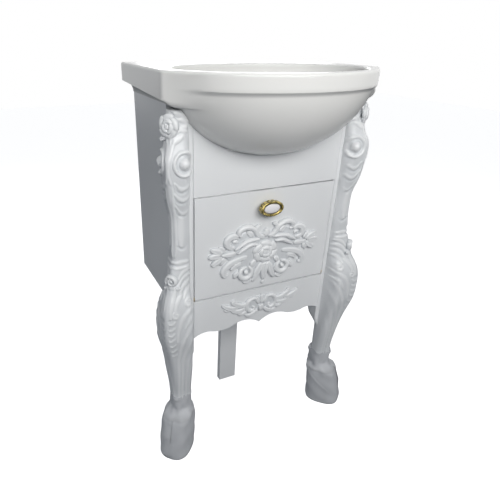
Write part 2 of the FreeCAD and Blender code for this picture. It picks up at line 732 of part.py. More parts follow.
# Stays: arcs about the hinge, each with a foot on the door and a stop at its tail
def stay_solid():
    """A quadrant strip from the door's back to its tail, with its foot and its stop."""
    radius, width, sheet_size = get("stay_radius"), get("stay_width"), get("stay_sheet")
    axis = Vector(1, 0, 0)
    hinge = Vector(get("stay_x"), get("hinge_y"), get("hinge_z"))
    reach = get("door_back") - get("hinge_y")
    first = 90 - get("stay_angle")
    outer = Part.makeCylinder(radius + width / 2, sheet_size, hinge, axis)
    strip = outer.cut(Part.makeCylinder(radius - width / 2, sheet_size, hinge, axis))
    deep = radius + width
    keep = Part.makeBox(sheet_size, deep, deep, hinge + Vector(0, reach, 0))
    wedge = Part.Face(Part.makePolygon([
        hinge,
        hinge + Vector(0, 2 * deep * cos(radians(first)), 2 * deep * sin(radians(first))),
        hinge + Vector(0, 2 * deep, 2 * deep),
        hinge + Vector(0, 0, 2 * deep),
        hinge,
    ])).extrude(axis * sheet_size)
    strip = strip.common(wedge).common(keep.fuse(Part.makeBox(
        sheet_size, deep, deep, hinge + Vector(0, reach, -deep))))
    plate = Part.makeBox(
        get("stay_plate_width"), sheet_size, get("stay_plate"),
        Vector(get("stay_x") + sheet_size - get("stay_plate_width"), get("door_back"),
               hinge.z + radius - get("stay_plate") / 2),
    )
    tail = radians(first + get("stop") / radius * 180 / pi)
    knob = Part.makeCylinder(
        get("stop"), 3 * sheet_size,
        hinge + Vector(-sheet_size, radius * cos(tail), radius * sin(tail)), axis,
    )
    return strip.fuse(plate).fuse(knob).removeSplitter()


# Stay screws: their shares of the foot's width and height
STAY_SCREW_SHARES = (0.65, 0.32)
stay = solid("stay", stay_solid())
stay_screws_right = group(
    "stay_screws_right",
    *(
        screw(f"stay_screw_{end}", "y", -1,
              f"stay_x + stay_sheet - {STAY_SCREW_SHARES[0]} * stay_plate_width", "door_back + stay_sheet",
              f"hinge_z + stay_radius + {sign} * {STAY_SCREW_SHARES[1]} * stay_plate")
        for end, sign in (("low", "-1"), ("high", "1"))
    ),
)
stay_screws = node(
    "stay_screws", group("stay_screws", stay_screws_right, mirrored("stay_screws_left", stay_screws_right))
)
stay_right = node("quadrant_stay_right", cut("quadrant_stay_right", stay, stay_screws_right))
node("quadrant_stay_left", mirrored("quadrant_stay_left", stay_right))

# Magnetic catch behind the fascia, and its strike plate on the door
CATCH_FRONT = "door_back + strike + catch_play"
CATCH_BACK = CATCH_FRONT + " + catch_depth"
CATCH_FOOT = "fascia_foot - catch_drop"
catch = padded(
    "catch",
    "YZ_Plane",
    (
        (CATCH_FRONT, CATCH_FOOT),
        (CATCH_BACK, CATCH_FOOT),
        (CATCH_BACK, CATCH_FOOT + " + catch_height"),
        ("front + board", CATCH_FOOT + " + catch_height"),
        ("front + board", "fascia_foot"),
        (CATCH_FRONT, "fascia_foot"),
    ),
    "catch_width",
    both=True,
)
catch_screws = group(
    "catch_screws",
    *(
        screw(f"catch_screw_{hand}", "y", -1, f"{side} * catch_width / 3", CATCH_BACK,
              "fascia_foot + screw_head", CATCH_BACK + " - front - board / 2")
        for hand, side in (("left", "-1"), ("right", "1"))
    ),
)
node("catch_screws", catch_screws)
node("magnetic_catch", cut("magnetic_catch", catch, catch_screws))
node("fascia_panel", cut("fascia_panel", fascia, dowels, catch_screws, bowl_room))
strike_plate = box("strike_plate", "catch_width", "strike", "strike_height", "-catch_width / 2", "door_back",
                   CATCH_FOOT)
strike_screw = screw("strike_screw", "y", -1, "0", "door_back + strike - head_height",
                     CATCH_FOOT + " + strike_height / 2")


# Knob: a gilt oval body on a neck, a porcelain cabochon in its frame, and a screw through the door.
# Each row: reach from the door, half width and half height.
KNOB_SHARES = ((0.00, 0.26, 0.30), (0.12, 0.26, 0.30), (0.34, 0.16, 0.20), (0.58, 0.30, 0.32),
               (0.80, 0.49, 0.49), (1.00, 0.50, 0.50))


def oval(reach, half_wide, half_tall):
    """An upright oval in front of the door, as a wire."""
    centre = Vector(0, get("front") - reach, get("knob_z"))
    edge = Part.Ellipse(centre + Vector(half_wide, 0, 0), centre + Vector(0, 0, half_tall), centre)
    return Part.Wire([edge.toShape()])


def insert_solid():
    """A low oval dome of porcelain."""
    wide = get("knob_width") / 2 - get("knob_bezel")
    tall = get("knob_height") / 2 - get("knob_bezel")
    crown = get("knob_crown")
    seat = get("knob_reach") - crown
    dome = Part.makeSphere(1)
    stretch = Matrix()
    stretch.scale(wide, 2 * crown, tall)
    dome = dome.transformGeometry(stretch)
    dome.translate(Vector(0, get("front") - seat, get("knob_z")))
    room = Part.makeBox(2 * wide, 2 * crown, 2 * tall, Vector(-wide, get("front") - seat - 2 * crown,
                                                             get("knob_z") - tall))
    return dome.common(room)


insert = solid("insert", insert_solid())
knob_body = Part.makeLoft(
    [oval(reach * get("knob_reach"), wide * get("knob_width"), tall * get("knob_height"))
     for reach, wide, tall in KNOB_SHARES],
    True,
)
knob = solid("knob", knob_body)
# The screw's share of the knob's reach
KNOB_SCREW_SHARE = 0.4
knob_screw = screw("knob_screw", "y", -1, "0", "door_back", "knob_z",
                   f"door_thickness + {KNOB_SCREW_SHARE} * knob_reach")
node("knob_screw", knob_screw)
node("knob_insert", insert)
node("knob_body", cut("knob_body", knob, insert, knob_screw))

node("strike_plate", cut("strike_plate_bored", strike_plate, strike_screw))
node("strike_screw", strike_screw)
node("door_panel", cut("door_panel", door, pins, stay_screws, knob_screw, strike_screw))


# Carvings: pointed leaves and curled scrolls laid over a shaped ground; the share is where a leaf is widest
LEAF_SHARE = 0.45


def leaf(x, z, length, width, angle, height):
    """A pointed leaf that starts at a point and lies at an angle on the face y = 0."""
    tip = Vector(length, 0, 0)
    edge_up = Part.Arc(Vector(), Vector(length * LEAF_SHARE, 0, width / 2), tip).toShape()
    edge_down = Part.Arc(tip, Vector(length * LEAF_SHARE, 0, -width / 2), Vector()).toShape()
    pad = Part.Face(Part.Wire([edge_up, edge_down])).extrude(Vector(0, -height, 0))
    pad.rotate(Vector(), Vector(0, -1, 0), angle)
    pad.translate(Vector(x, 0, z))
    return pad


def scroll(x, z, radius, width, height):
    """A curled scroll seen from its end: a ring round an eye."""
    at = Vector(x, 0, z)
    out = Vector(0, -1, 0)
    ring = Part.makeCylinder(radius, height, at, out)
    eye = Part.makeCylinder(radius - width, height, at, out)
    return ring.cut(eye).fuse(Part.makeCylinder(radius / 3, height * 1.1, at, out))


def carving(wide, tall, relief, leaves, scrolls, ground, heart):
    """A carving symmetrical about x = 0, standing on z = 0, from tables of shares."""
    half = wide / 2
    pieces = []
    for x, z, length, width, angle, height in leaves:
        for side in (1, -1):
            turn = angle if side > 0 else 180 - angle
            pieces.append(leaf(side * x * half, z * tall, length * half, width * tall, turn, height * relief))
    for x, z, radius, width, height in scrolls:
        for side in (1, -1):
            pieces.append(scroll(side * x * half, z * tall, radius * tall, width * tall, height * relief))
    plate = Part.Ellipse(
        Vector(ground[0] * half, 0, ground[2] * tall), Vector(0, 0, (ground[2] + ground[1]) * tall),
        Vector(0, 0, ground[2] * tall),
    )
    base = Part.Face(Part.Wire([plate.toShape()]))
    pieces.append(base.extrude(Vector(0, -relief * ground[3], 0)))
    pieces.append(Part.makeCylinder(heart[0] * tall, relief, Vector(0, 0, heart[1] * tall), Vector(0, -1, 0)))
    return pieces[0].multiFuse(pieces[1:]).removeSplitter()


# Leaves: root across and up, length, width, angle and height
DOOR_LEAF_SHARES = (
    (0.00, 0.52, 0.53, 0.20, 90, 0.75),
    (0.06, 0.55, 0.48, 0.18, 68, 0.70),
    (0.20, 0.60, 0.36, 0.16, 46, 0.60),
    (0.34, 0.60, 0.36, 0.15, 24, 0.60),
    (0.45, 0.52, 0.55, 0.16, 2, 0.55),
    (0.50, 0.46, 0.42, 0.14, -22, 0.50),
    (0.30, 0.36, 0.44, 0.16, -34, 0.60),
    (0.14, 0.36, 0.42, 0.17, -62, 0.65),
    (0.00, 0.50, 0.56, 0.20, -90, 0.75),
)
DOOR_SCROLL_SHARES = ((0.34, 0.66, 0.15, 0.045, 0.85), (0.30, 0.36, 0.13, 0.04, 0.80),
                      (0.62, 0.52, 0.10, 0.035, 0.7))
DOOR_GROUND_SHARES = (0.62, 0.30, 0.52, 0.30)
DOOR_HEART_SHARES = (0.14, 0.55)
APRON_LEAF_SHARES = (
    (0.00, 0.40, 0.30, 0.34, 90, 0.8),
    (0.08, 0.42, 0.36, 0.30, 44, 0.7),
    (0.26, 0.44, 0.74, 0.30, 15, 0.6),
    (0.22, 0.40, 0.44, 0.28, -12, 0.6),
    (0.10, 0.36, 0.34, 0.28, -40, 0.6),
)
APRON_SCROLL_SHARES = ((0.24, 0.55, 0.22, 0.07, 0.85),)
APRON_GROUND_SHARES = (0.50, 0.26, 0.46, 0.35)
APRON_HEART_SHARES = (0.20, 0.50)

door_relief = carving(
    get("carving_width"), get("carving_height"), get("carving_relief"),
    DOOR_LEAF_SHARES, DOOR_SCROLL_SHARES, DOOR_GROUND_SHARES, DOOR_HEART_SHARES,
)
door_carving = node("door_carving", solid("door_carving", door_relief))
place(door_carving, "0", "front", "door_bottom + carving_foot")
crest_relief = carving(
    get("crest_width"), get("crest_height"), get("crest_relief"),
    APRON_LEAF_SHARES, APRON_SCROLL_SHARES, APRON_GROUND_SHARES, APRON_HEART_SHARES,
)
apron_carving = node("apron_carving", solid("apron_carving", crest_relief))
place(apron_carving, "0", "front", "floor_top - crest_drop - crest_height")

doc.recompute()
for item in doc.Objects:
    if {"Invalid", "Error"} & set(item.State):
        raise RuntimeError(f"{item.Name} failed: {item.State}")
for name, item in nodes.items():
    if item.Shape.isNull() or not item.Shape.isValid() or not item.Shape.Solids:
        raise RuntimeError(f"{name} has no valid solid")

os.makedirs("parts", exist_ok=True)
for name, item in nodes.items():
    item.Shape.exportStep(f"parts/{name}.step")
    frame_box = item.Shape.BoundBox
    print(
        f"{name}: {len(item.Shape.Solids)} solids, {item.Shape.Volume / 1000:.1f} cm3,"
        f" x {frame_box.XMin:.1f} {frame_box.XMax:.1f}, y {frame_box.YMin:.1f} {frame_box.YMax:.1f},"
        f" z {frame_box.ZMin:.1f} {frame_box.ZMax:.1f}"
    )
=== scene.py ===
"""Looks of the carved vanity unit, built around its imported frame."""

import json
import math

import bmesh
import bpy
import numpy as np
from mathutils import Matrix, Vector


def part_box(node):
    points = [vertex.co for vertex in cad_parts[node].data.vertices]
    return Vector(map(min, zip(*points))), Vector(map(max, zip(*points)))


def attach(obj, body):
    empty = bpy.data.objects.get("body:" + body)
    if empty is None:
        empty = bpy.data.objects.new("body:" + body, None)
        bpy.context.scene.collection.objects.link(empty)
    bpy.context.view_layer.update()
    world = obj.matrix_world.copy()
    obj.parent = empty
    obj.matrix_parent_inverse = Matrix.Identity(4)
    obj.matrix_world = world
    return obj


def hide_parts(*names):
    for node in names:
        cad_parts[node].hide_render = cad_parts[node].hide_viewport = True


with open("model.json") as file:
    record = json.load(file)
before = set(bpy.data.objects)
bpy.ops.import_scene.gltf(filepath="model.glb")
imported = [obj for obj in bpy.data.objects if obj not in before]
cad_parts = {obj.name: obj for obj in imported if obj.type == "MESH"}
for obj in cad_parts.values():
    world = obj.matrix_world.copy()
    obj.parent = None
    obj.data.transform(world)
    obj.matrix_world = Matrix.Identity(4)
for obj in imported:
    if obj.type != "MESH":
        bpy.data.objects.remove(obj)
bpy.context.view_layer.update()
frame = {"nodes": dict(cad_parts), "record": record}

bl_info = {
    "name": "Carved Vanity Unit",
    "version": (1, 0, 0),
    "blender": (4, 5, 0),
    "location": "View3D > Sidebar > Vanity",
    "description": "Dresses the frame of a vanity unit with its basin, carved legs, door carving and finishes",
    "category": "Add Mesh",
}

MM = 0.001


def span(node):
    """Lowest and highest corner of a piece of the frame, in millimetres."""
    low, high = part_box(node)
    return np.array(low) / MM, np.array(high) / MM


# Datum lines of the unit, in millimetres
FRONT = span("door_panel")[0][1]
CORNER = span("side_panel_right")[1][0]
WALL = span("upper_back_rail")[1][1]
SEAT = span("side_panel_right")[1][2]
RIM = span("basin")[1][2]
SLAB = span("basin")[1][0]
LEG_LOW, LEG_HIGH = span("front_leg_right")
KNOB_LOW, KNOB_HIGH = span("knob_body")


class VanitySizes(bpy.types.PropertyGroup):
    """Sizes of the details that the frame leaves plain."""

    rim_round: bpy.props.FloatProperty(
        name="Rim round", description="Rounding of the basin's outer rim", default=0.005, subtype="DISTANCE",
        unit="LENGTH"
    )
    leg_relief: bpy.props.FloatProperty(
        name="Leg relief", description="How strongly the carving of the legs stands out", default=0.62, min=0.0
    )
    sink: bpy.props.FloatProperty(
        name="Carving seat", description="How far a carving's underside sits in its board", default=0.0003,
        subtype="DISTANCE", unit="LENGTH"
    )
    crumple: bpy.props.FloatProperty(
        name="Crumple", description="Depth of the folds in the foot covers", default=0.0013, subtype="DISTANCE",
        unit="LENGTH"
    )


class VanityColours(bpy.types.PropertyGroup):
    """Colours of the finishes."""

    paint: bpy.props.FloatVectorProperty(
        name="Paint", description="White paint of the cabinet", default=(0.80, 0.815, 0.83), size=3, subtype="COLOR"
    )
    # Painted shade: the paint is drawn this much darker deep in the carving, where shade falls
    paint_hollow: bpy.props.FloatVectorProperty(
        name="Paint in hollows", description="Paint deep in the carving", default=(0.50, 0.53, 0.56), size=3,
        subtype="COLOR"
    )
    glaze: bpy.props.FloatVectorProperty(
        name="Glaze", description="Basin glaze", default=(0.78, 0.78, 0.765), size=3, subtype="COLOR"
    )
    porcelain: bpy.props.FloatVectorProperty(
        name="Porcelain", description="Knob's cabochon", default=(0.84, 0.82, 0.84), size=3, subtype="COLOR"
    )
    gilt: bpy.props.FloatVectorProperty(
        name="Gilt", description="Knob's gilt frame", default=(0.68, 0.55, 0.21), size=3, subtype="COLOR"
    )
    # Grey of the sheet, partly its own tone and partly painted shade for the shade low around the feet
    cover: bpy.props.FloatVectorProperty(
        name="Cover", description="Grey sheet around the feet", default=(0.56, 0.575, 0.60), size=3, subtype="COLOR"
    )
    floor: bpy.props.FloatVectorProperty(
        name="Floor", description="Studio floor", default=(0.90, 0.90, 0.90), size=3, subtype="COLOR"
    )
    floor_bounce: bpy.props.FloatVectorProperty(
        name="Floor bounce", description="Floor as it lights the unit", default=(0.24, 0.25, 0.27), size=3,
        subtype="COLOR"
    )


def sizes():
    return bpy.context.scene.vanity_sizes


def colours():
    return bpy.context.scene.vanity_colours


# Finishes


class Wire:
    """A socket of a finish, usable like a number."""

    def __init__(self, finish, socket):
        self.finish = finish
        self.socket = socket

    def sum_of(self, operation, first, second):
        return self.finish.node("ShaderNodeMath", {"operation": operation}, {0: first, 1: second})

    def __add__(self, other):
        return self.sum_of("ADD", self, other)

    __radd__ = __add__

    def __sub__(self, other):
        return self.sum_of("SUBTRACT", self, other)

    def __rsub__(self, other):
        return self.sum_of("SUBTRACT", other, self)

    def __mul__(self, other):
        return self.sum_of("MULTIPLY", self, other)

    __rmul__ = __mul__


class Finish:
    """A material in the making."""

    def __init__(self, name, tree=None):
        if tree is None:
            self.material = bpy.data.materials.new(name)
            self.material.use_nodes = True
            tree = self.material.node_tree
        self.tree = tree
        self.shader = tree.nodes.get("Principled BSDF")

    def feed(self, socket, value):
        if isinstance(value, Wire):
            self.tree.links.new(value.socket, socket)
        else:
            socket.default_value = value

    def node(self, kind, settings, sockets, out=0):
        made = self.tree.nodes.new(kind)
        for key, value in settings.items():
            setattr(made, key, value)
        for key, value in sockets.items():
            self.feed(made.inputs[key], value)
        return None if out is None else Wire(self, made.outputs[out])

    def set(self, **sockets):
        """Feed sockets of the shader, named with _ for a space."""
        for key, value in sockets.items():
            self.feed(self.shader.inputs[key.replace("_", " ")], value)

    def place(self):
        return self.node("ShaderNodeTexCoord", {}, {}, "Object")

    def cloud(self, scale, detail=3.0):
        return self.node("ShaderNodeTexNoise", {}, {"Vector": self.place(), "Scale": scale, "Detail": detail})

    def grain(self, stretch, scale, detail=4.0):
        at = self.node("ShaderNodeVectorMath", {"operation": "MULTIPLY"}, {0: self.place(), 1: stretch})
        return self.node("ShaderNodeTexNoise", {}, {"Vector": at, "Scale": scale, "Detail": detail})

    # The share of painted shade that each mesh carries in its hollow attribute
    def hollow(self):
        return self.node("ShaderNodeAttribute", {"attribute_name": "hollow"}, {}, "Fac")

    def blend(self, share, first, second):
        return self.node("ShaderNodeMix", {"data_type": "RGBA"}, {0: share, 6: first, 7: second}, 2)

    def bump(self, height, strength, distance):
        return self.node("ShaderNodeBump", {}, {"Strength": strength, "Distance": distance, "Height": height})


def rgba(colour, level=1.0):
    """A colour made lighter or darker, with its alpha."""
    return (*(min(1.0, part * level) for part in colour), 1.0)


def paint_finish(name):
    """Sprayed white paint, a little darker where the carving is deep, as painted shade."""
    paint = Finish(name)
    cloud = paint.cloud(7.0)
    body = paint.blend(cloud, rgba(colours().paint, 0.97), rgba(colours().paint, 1.02))
    paint.set(
        # Painted shade: the paint goes over to the darker colour by the share of painted shade that the carved meshes
        # carry
        Base_Color=paint.blend(paint.hollow(), body, rgba(colours().paint_hollow)),
        Roughness=0.30 + 0.14 * cloud,
        Normal=paint.bump(paint.cloud(420.0, 2.0), 0.10, 0.0004),
        Coat_Weight=0.12,
        Coat_Roughness=0.25,
    )
    return paint.material


def glaze_finish(name, ware):
    """Fired gloss glaze with a faint ripple."""
    colour = getattr(colours(), ware)
    glaze = Finish(name)
    cloud = glaze.cloud(5.0)
    glaze.set(
        Base_Color=glaze.blend(cloud, rgba(colour, 0.97), rgba(colour, 1.02)),
        Roughness=0.20 + 0.08 * cloud,
        Normal=glaze.bump(glaze.cloud(26.0, 1.0), 0.05, 0.001),
        Specular_IOR_Level=0.35,
        Coat_Weight=0.05,
        Coat_Roughness=0.08,
    )
    return glaze.material


def gilt_finish(name):
    """Gilding, brown in the hollows, partly patina and partly painted shade, and with painted shade in random dark
    patches.
    """
    gilt = Finish(name)
    cloud = gilt.cloud(150.0)
    # Painted shade: random dark patches in the gilt stand in for the shade in the ornament
    body = gilt.blend((cloud - 0.38) * 4.5, rgba(colours().gilt, 0.22), rgba(colours().gilt, 1.15))
    gilt.set(
        # Painted shade: the gilt goes near-black brown in the cuts between the lobes and around the opening
        Base_Color=gilt.blend(gilt.hollow(), body, rgba(colours().gilt, 0.12)),
        Roughness=0.16 + 0.16 * cloud,
        Normal=gilt.bump(cloud, 0.15, 0.0006),
        Metallic=1.0,
    )
    return gilt.material


def metal_finish(name, colour, stretch, rough):
    """Plain metal with drawn marks."""
    metal = Finish(name)
    marks = metal.grain(stretch, 60.0)
    metal.set(
        Base_Color=metal.blend(marks, rgba(colour, 0.82), rgba(colour, 1.08)),
        Roughness=rough + 0.18 * marks,
        Normal=metal.bump(marks, 0.08, 0.0003),
        Metallic=1.0,
    )
    return metal.material


def cover_finish(name):
    """Protective sheet with soft creases, grey partly of its own and partly as painted shade."""
    cover = Finish(name)
    creases = cover.grain((1.0, 1.0, 0.35), 38.0, 5.0)
    body = cover.blend(creases, rgba(colours().cover, 0.88), rgba(colours().cover, 1.12))
    cover.set(
        Base_Color=cover.blend(cover.hollow(), body, rgba(colours().cover, 0.62)),
        Roughness=0.42 + 0.2 * creases,
        Normal=cover.bump(creases, 0.35, 0.0015),
    )
    return cover.material


def plastic_finish(name):
    """Moulded plastic with a fine texture."""
    plastic = Finish(name)
    cloud = plastic.cloud(300.0)
    plastic.set(
        Base_Color=plastic.blend(cloud, (0.72, 0.72, 0.70, 1.0), (0.80, 0.80, 0.78, 1.0)),
        Roughness=0.38 + 0.15 * cloud,
        Normal=plastic.bump(cloud, 0.1, 0.0003),
    )
    return plastic.material


def beech_finish(name):
    """Bare beech with its grain."""
    beech = Finish(name)
    lines = beech.grain((1.0, 14.0, 14.0), 24.0, 6.0)
    beech.set(
        Base_Color=beech.blend(lines, (0.50, 0.31, 0.16, 1.0), (0.70, 0.50, 0.30, 1.0)),
        Roughness=0.55 + 0.2 * lines,
        Normal=beech.bump(lines, 0.15, 0.0004),
    )
    return beech.material


# Each material slot's finish and its settings
FINISHES = {
    "painted_wood": (paint_finish,),
    "basin_glaze": (glaze_finish, "glaze"),
    "knob_glaze": (glaze_finish, "porcelain"),
    "gilt_brass": (gilt_finish,),
    "bush_brass": (metal_finish, (0.50, 0.39, 0.22), (1.0, 30.0, 30.0), 0.30),
    "steel": (metal_finish, (0.58, 0.59, 0.60), (30.0, 1.0, 1.0), 0.26),
    "cover_foam": (cover_finish,),
    "catch_plastic": (plastic_finish,),
    "beech": (beech_finish,),
}


def finish_of(slot):
    """The finish of a material slot, made on first use."""
    name = "finish_" + slot
    made = bpy.data.materials.get(name)
    if made:
        return made
    make, *settings = FINISHES[slot]
    return make(name, *settings)


# Meshes


# Corners of a sheet closer than this are one, in metres
MERGE = 2e-6


def sheet(mesh, columns, rows, place):
    """A grid laid on a surface. place(column, row) takes whole numbers and gives x, y, z and the share of painted
    shade.
    """
    layer = mesh.verts.layers.float.get("hollow") or mesh.verts.layers.float.new("hollow")
    spots = bmesh.ops.create_grid(mesh, x_segments=columns, y_segments=rows, size=1.0)["verts"]
    flat = np.array([spot.co[:2] for spot in spots])
    share = (flat - flat.min(axis=0)) / (flat.max(axis=0) - flat.min(axis=0))
    column = np.rint(share[:, 0] * columns).astype(int)
    row = np.rint(share[:, 1] * rows).astype(int)
    for spot, at in zip(spots, place(column, row)):
        spot.co = at[:3] * MM
        spot[layer] = at[3]
    bmesh.ops.remove_doubles(mesh, verts=spots, dist=MERGE)


def with_painted_shade(points, hollow=0.0):
    """Points with their share of painted shade as a fourth number."""
    points = np.asarray(points, float)
    return np.column_stack([points, np.broadcast_to(hollow, len(points))])


def new_mesh():
    mesh = bmesh.new()
    # Each vertex carries a share of painted shade, high where shade falls in the carving
    mesh.verts.layers.float.new("hollow")
    return mesh


def add_piece(name, mesh, body, slot, nodes, crisp=1.0):
    """Turn a mesh into a finished piece that rides on a body and stands for nodes of the frame.

    Edges that turn by more than crisp, in radians, stay sharp.
    """
    bmesh.ops.recalc_face_normals(mesh, faces=mesh.faces)
    for face in mesh.faces:
        face.smooth = True
    for edge in mesh.edges:
        edge.smooth = len(edge.link_faces) != 2 or edge.calc_face_angle(0.0) < crisp
    data = bpy.data.meshes.new(name)
    mesh.to_mesh(data)
    mesh.free()
    piece = bpy.data.objects.new(name, data)
    bpy.context.scene.collection.objects.link(piece)
    data.materials.append(finish_of(slot))
    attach(piece, body)
    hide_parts(*nodes)


def spline(points, count):
    """Points along a smooth curve through the given ones."""
    points = np.asarray(points, float)
    ends = np.vstack([2 * points[0] - points[1], points, 2 * points[-1] - points[-2]])
    at = np.linspace(0, len(points) - 1, count)
    start = np.minimum(at.astype(int), len(points) - 2)
    t = (at - start)[:, None]
    a, b, c, d = (ends[start + k] for k in range(4))
    return 0.5 * (2 * b + (c - a) * t + (2 * a - 5 * b + 4 * c - d) * t**2 + (3 * b - a - 3 * c + d) * t**3)


def through(at, knots, values):
    """A smooth curve through the knots, read at given places."""
    knots = np.asarray(knots, float)
    values = np.asarray(values, float)
    slope = np.gradient(values, knots)
    start = np.clip(np.searchsorted(knots, at) - 1, 0, len(knots) - 2)
    wide = knots[start + 1] - knots[start]
    t = np.clip((at - knots[start]) / wide, 0, 1)
    return (
        (2 * t**3 - 3 * t**2 + 1) * values[start]
        + (t**3 - 2 * t**2 + t) * wide * slope[start]
        + (3 * t**2 - 2 * t**3) * values[start + 1]
        + (t**3 - t**2) * wide * slope[start + 1]
    )


def ease(low, high, at):
    """Zero below low, one above high, and smooth between."""
    t = np.clip((at - low) / (high - low), 0, 1)
    return t * t * (3 - 2 * t)


def soft_min(first, second, round_off):
    """The smaller of two values, rounded off where they meet."""
    h = np.clip(0.5 + 0.5 * (second - first) / round_off, 0, 1)
    return second + (first - second) * h - round_off * h * (1 - h)


def curl(centre, radius, start, turns, inner=0.25, count=12):
    """Points of a spiral that winds in to a centre, from a start angle in degrees."""
    share = np.linspace(0, 1, count)
    angle = math.radians(start) + 2 * math.pi * turns * share
    reach = radius * (1 - (1 - inner) * share)
    return [tuple(at) for at in np.column_stack([centre[0] + reach * np.cos(angle), centre[1] + reach * np.sin(angle)])]


class Face:
    """A flat face that carving lies on."""

    def __init__(self, at, right, up, out):
        self.at, self.right, self.up, self.out = (np.asarray(part, float) for part in (at, right, up, out))

    def spots(self, across, high, out):
        return self.at + np.outer(across, self.right) + np.outer(high, self.up) + np.outer(out, self.out)


# Rows over the top of a stroke and all around it, and its steps in length
STROKE_TOP = 10
STROKE_AROUND = STROKE_TOP + 4
STROKE_STEP = 2.6
LEAST_STEPS = 9
# Points by which a stroke's length is measured
MEASURE = 40
# Shares of its length at which a stroke is widest and within which its ends close
BODY_SHARE = 0.4
CLOSE_SHARE = 0.09
# How slowly a stroke loses height where it thins
CROWN_POWER = 0.6
# Width of a crease, width and strength of its shade, and how far up and how strongly a stroke is shaded at its foot
CREASE = 0.3
CREASE_SHADE = (0.2, 0.6)
FOOT_SHADE = (1.5, 0.75)


def stroke_body(share, root, tip):
    """Width along a stroke: it swells from the root, thins to the tip and closes at both ends."""
    rise = root + (1 - root) * np.sin(np.clip(share / BODY_SHARE, 0, 1) * math.pi / 2)
    fall = tip + (1 - tip) * np.cos(np.clip((share - BODY_SHARE) / (1 - BODY_SHARE), 0, 1) * math.pi / 2)
    near = np.clip(np.minimum(share, 1 - share) / CLOSE_SHARE, 0, 1)
    return rise * fall * np.sqrt(1 - (1 - near) ** 2)


def stroke(mesh, face, points, half, high, lift=0.0, groove=0.0, root=0.6, tip=0.42):
    """A carved stroke with a rounded body on a face; a groove share cuts a crease along its middle."""
    rough = spline(points, MEASURE)
    length = np.linalg.norm(np.diff(rough, axis=0), axis=1).sum()
    count = max(LEAST_STEPS, int(length / STROKE_STEP))
    line = spline(points, count + 1)
    along = np.gradient(line, axis=0)
    along /= np.maximum(np.linalg.norm(along, axis=1), 1e-9)[:, None]
    aside = np.column_stack([-along[:, 1], along[:, 0]])
    body = stroke_body(np.linspace(0, 1, count + 1), root, tip)
    bank = np.concatenate([-np.cos(np.linspace(0, math.pi, STROKE_TOP + 1)), [1, 0, -1, -1]])
    sink = sizes().sink / MM

    def place(column, row):
        t = bank[row]
        at = line[column] + aside[column] * (t * half * body[column])[:, None]
        crown = np.sqrt(np.clip(1 - t**2, 0, 1)) * (1 - groove * np.exp(-((t / CREASE) ** 2)))
        under = (row > STROKE_TOP) & (row < STROKE_AROUND)
        out = np.where(under, -sink, lift + high * body[column] ** CROWN_POWER * crown)
        foot = np.clip(1 - FOOT_SHADE[0] * out / (high + lift), 0, 1) * FOOT_SHADE[1]
        crease = CREASE_SHADE[1] * groove * np.exp(-((t / CREASE_SHADE[0]) ** 2)) * (row <= STROKE_TOP)
        return with_painted_shade(face.spots(at[:, 0], at[:, 1], out), np.maximum(foot, crease))

    sheet(mesh, count, STROKE_AROUND, place)


def mirrored_strokes(mesh, face, table):
    """Lay a table of strokes on the right half of a face and again, mirrored, on the left."""
    for points, half, high, lift, groove in table:
        middle = all(abs(across) < 1e-6 for across, _ in points)
        stroke(mesh, face, points, half, high, lift, groove)
        if not middle:
            stroke(mesh, face, [(-across, up) for across, up in points], half, high, lift, groove)


# Rings over a carving's ground and steps around it, and its shade
GROUND_RINGS = 5
GROUND_COLUMNS = 96
GROUND_SHADE = 0.45


def plate(mesh, face, outline, high):
    """A thin ground with a rounded edge under a carving, drawn as a closed outline around its middle."""
    closed = spline(list(outline) + [outline[0]], GROUND_COLUMNS + 1)
    share = np.concatenate([np.linspace(0, 0.94, GROUND_RINGS), [0.98, 1.0, 1.0, 0.0]])
    sink = sizes().sink / MM
    rise = np.concatenate([np.full(GROUND_RINGS, high), [high * 0.8, high * 0.3, -sink, -sink]])

    def place(column, row):
        at = closed[column] * share[row][:, None]
        return with_painted_shade(face.spots(at[:, 0], at[:, 1], rise[row]), GROUND_SHADE)

    sheet(mesh, GROUND_COLUMNS, len(share) - 1, place)


# Basin

# Middle of the bowl, and half length and half width of its outside, its inside and the lip
BOWL_Y = FRONT + 20.0
BOWL_Z = RIM - 4.0
BOWL_OUT = (208.0, 153.0)
BOWL_IN = (193.0, 138.0)
LIP_OUT = (212.0, 157.0)
SLAB_FRONT = FRONT - 12.0
# Height of the slab's edge over its cove, at the wall and at the front corner
SLAB_FACES = (35.0, 46.0)
SEAT_HALF = CORNER + 2.0
# Thickness of the deck and of the skirt, and the lip's lower edge under the rim
DECK = 14.0
SKIRT = 18.0
LIP_LOW = 27.0
# Radii of the holes, and the tap's place
WASTE = 23.0
TAP = 17.5
TAP_Y = WALL - 45.0
CORNER_ROUND = 5.0
# Steps around the basin, and how near to the slab's corners and how much closer they lie there
BASIN_COLUMNS = 420
FINE_ANGLES = 9001
CORNER_NEAR = 18.0
CORNER_CLOSER = 3
# Rows of the bowl's inside, the lip's inner edge, the rim, its rounding, the slab's edge, the cove, the deck's
# underside and the bowl's outside
BOWL_ROWS, LIP_ROWS, RIM_ROWS, ROUND_ROWS = 40, 6, 26, 7
EDGE_ROWS, COVE_ROWS, DECK_ROWS, UNDER_ROWS = 15, 15, 13, 36
# Turn over which the bowl's round floor goes over into its oval
FLOOR_BLEND = 0.5
# Angles from the bowl's side to the front, between which the hollow under the deck closes, the cove turns into a
# rounded edge, that edge goes over into the belly, the flank dies away over the seat, and the lip grows
CLOSE_SWEEP = (math.radians(1.0), math.radians(7.0))
COVE_SWEEP = (math.radians(4.5), math.radians(11.0))
EDGE_SWEEP = (math.radians(10.0), math.radians(28.0))
BARE_SWEEP = (math.radians(9.0), math.radians(30.0))
LIP_SWEEP = (math.radians(8.0), math.radians(30.0))
# Height over which the lip turns into the belly, and how far under the rim the flank starts to die away
LIP_TURN = 8.0
BARE_FROM = 34.0


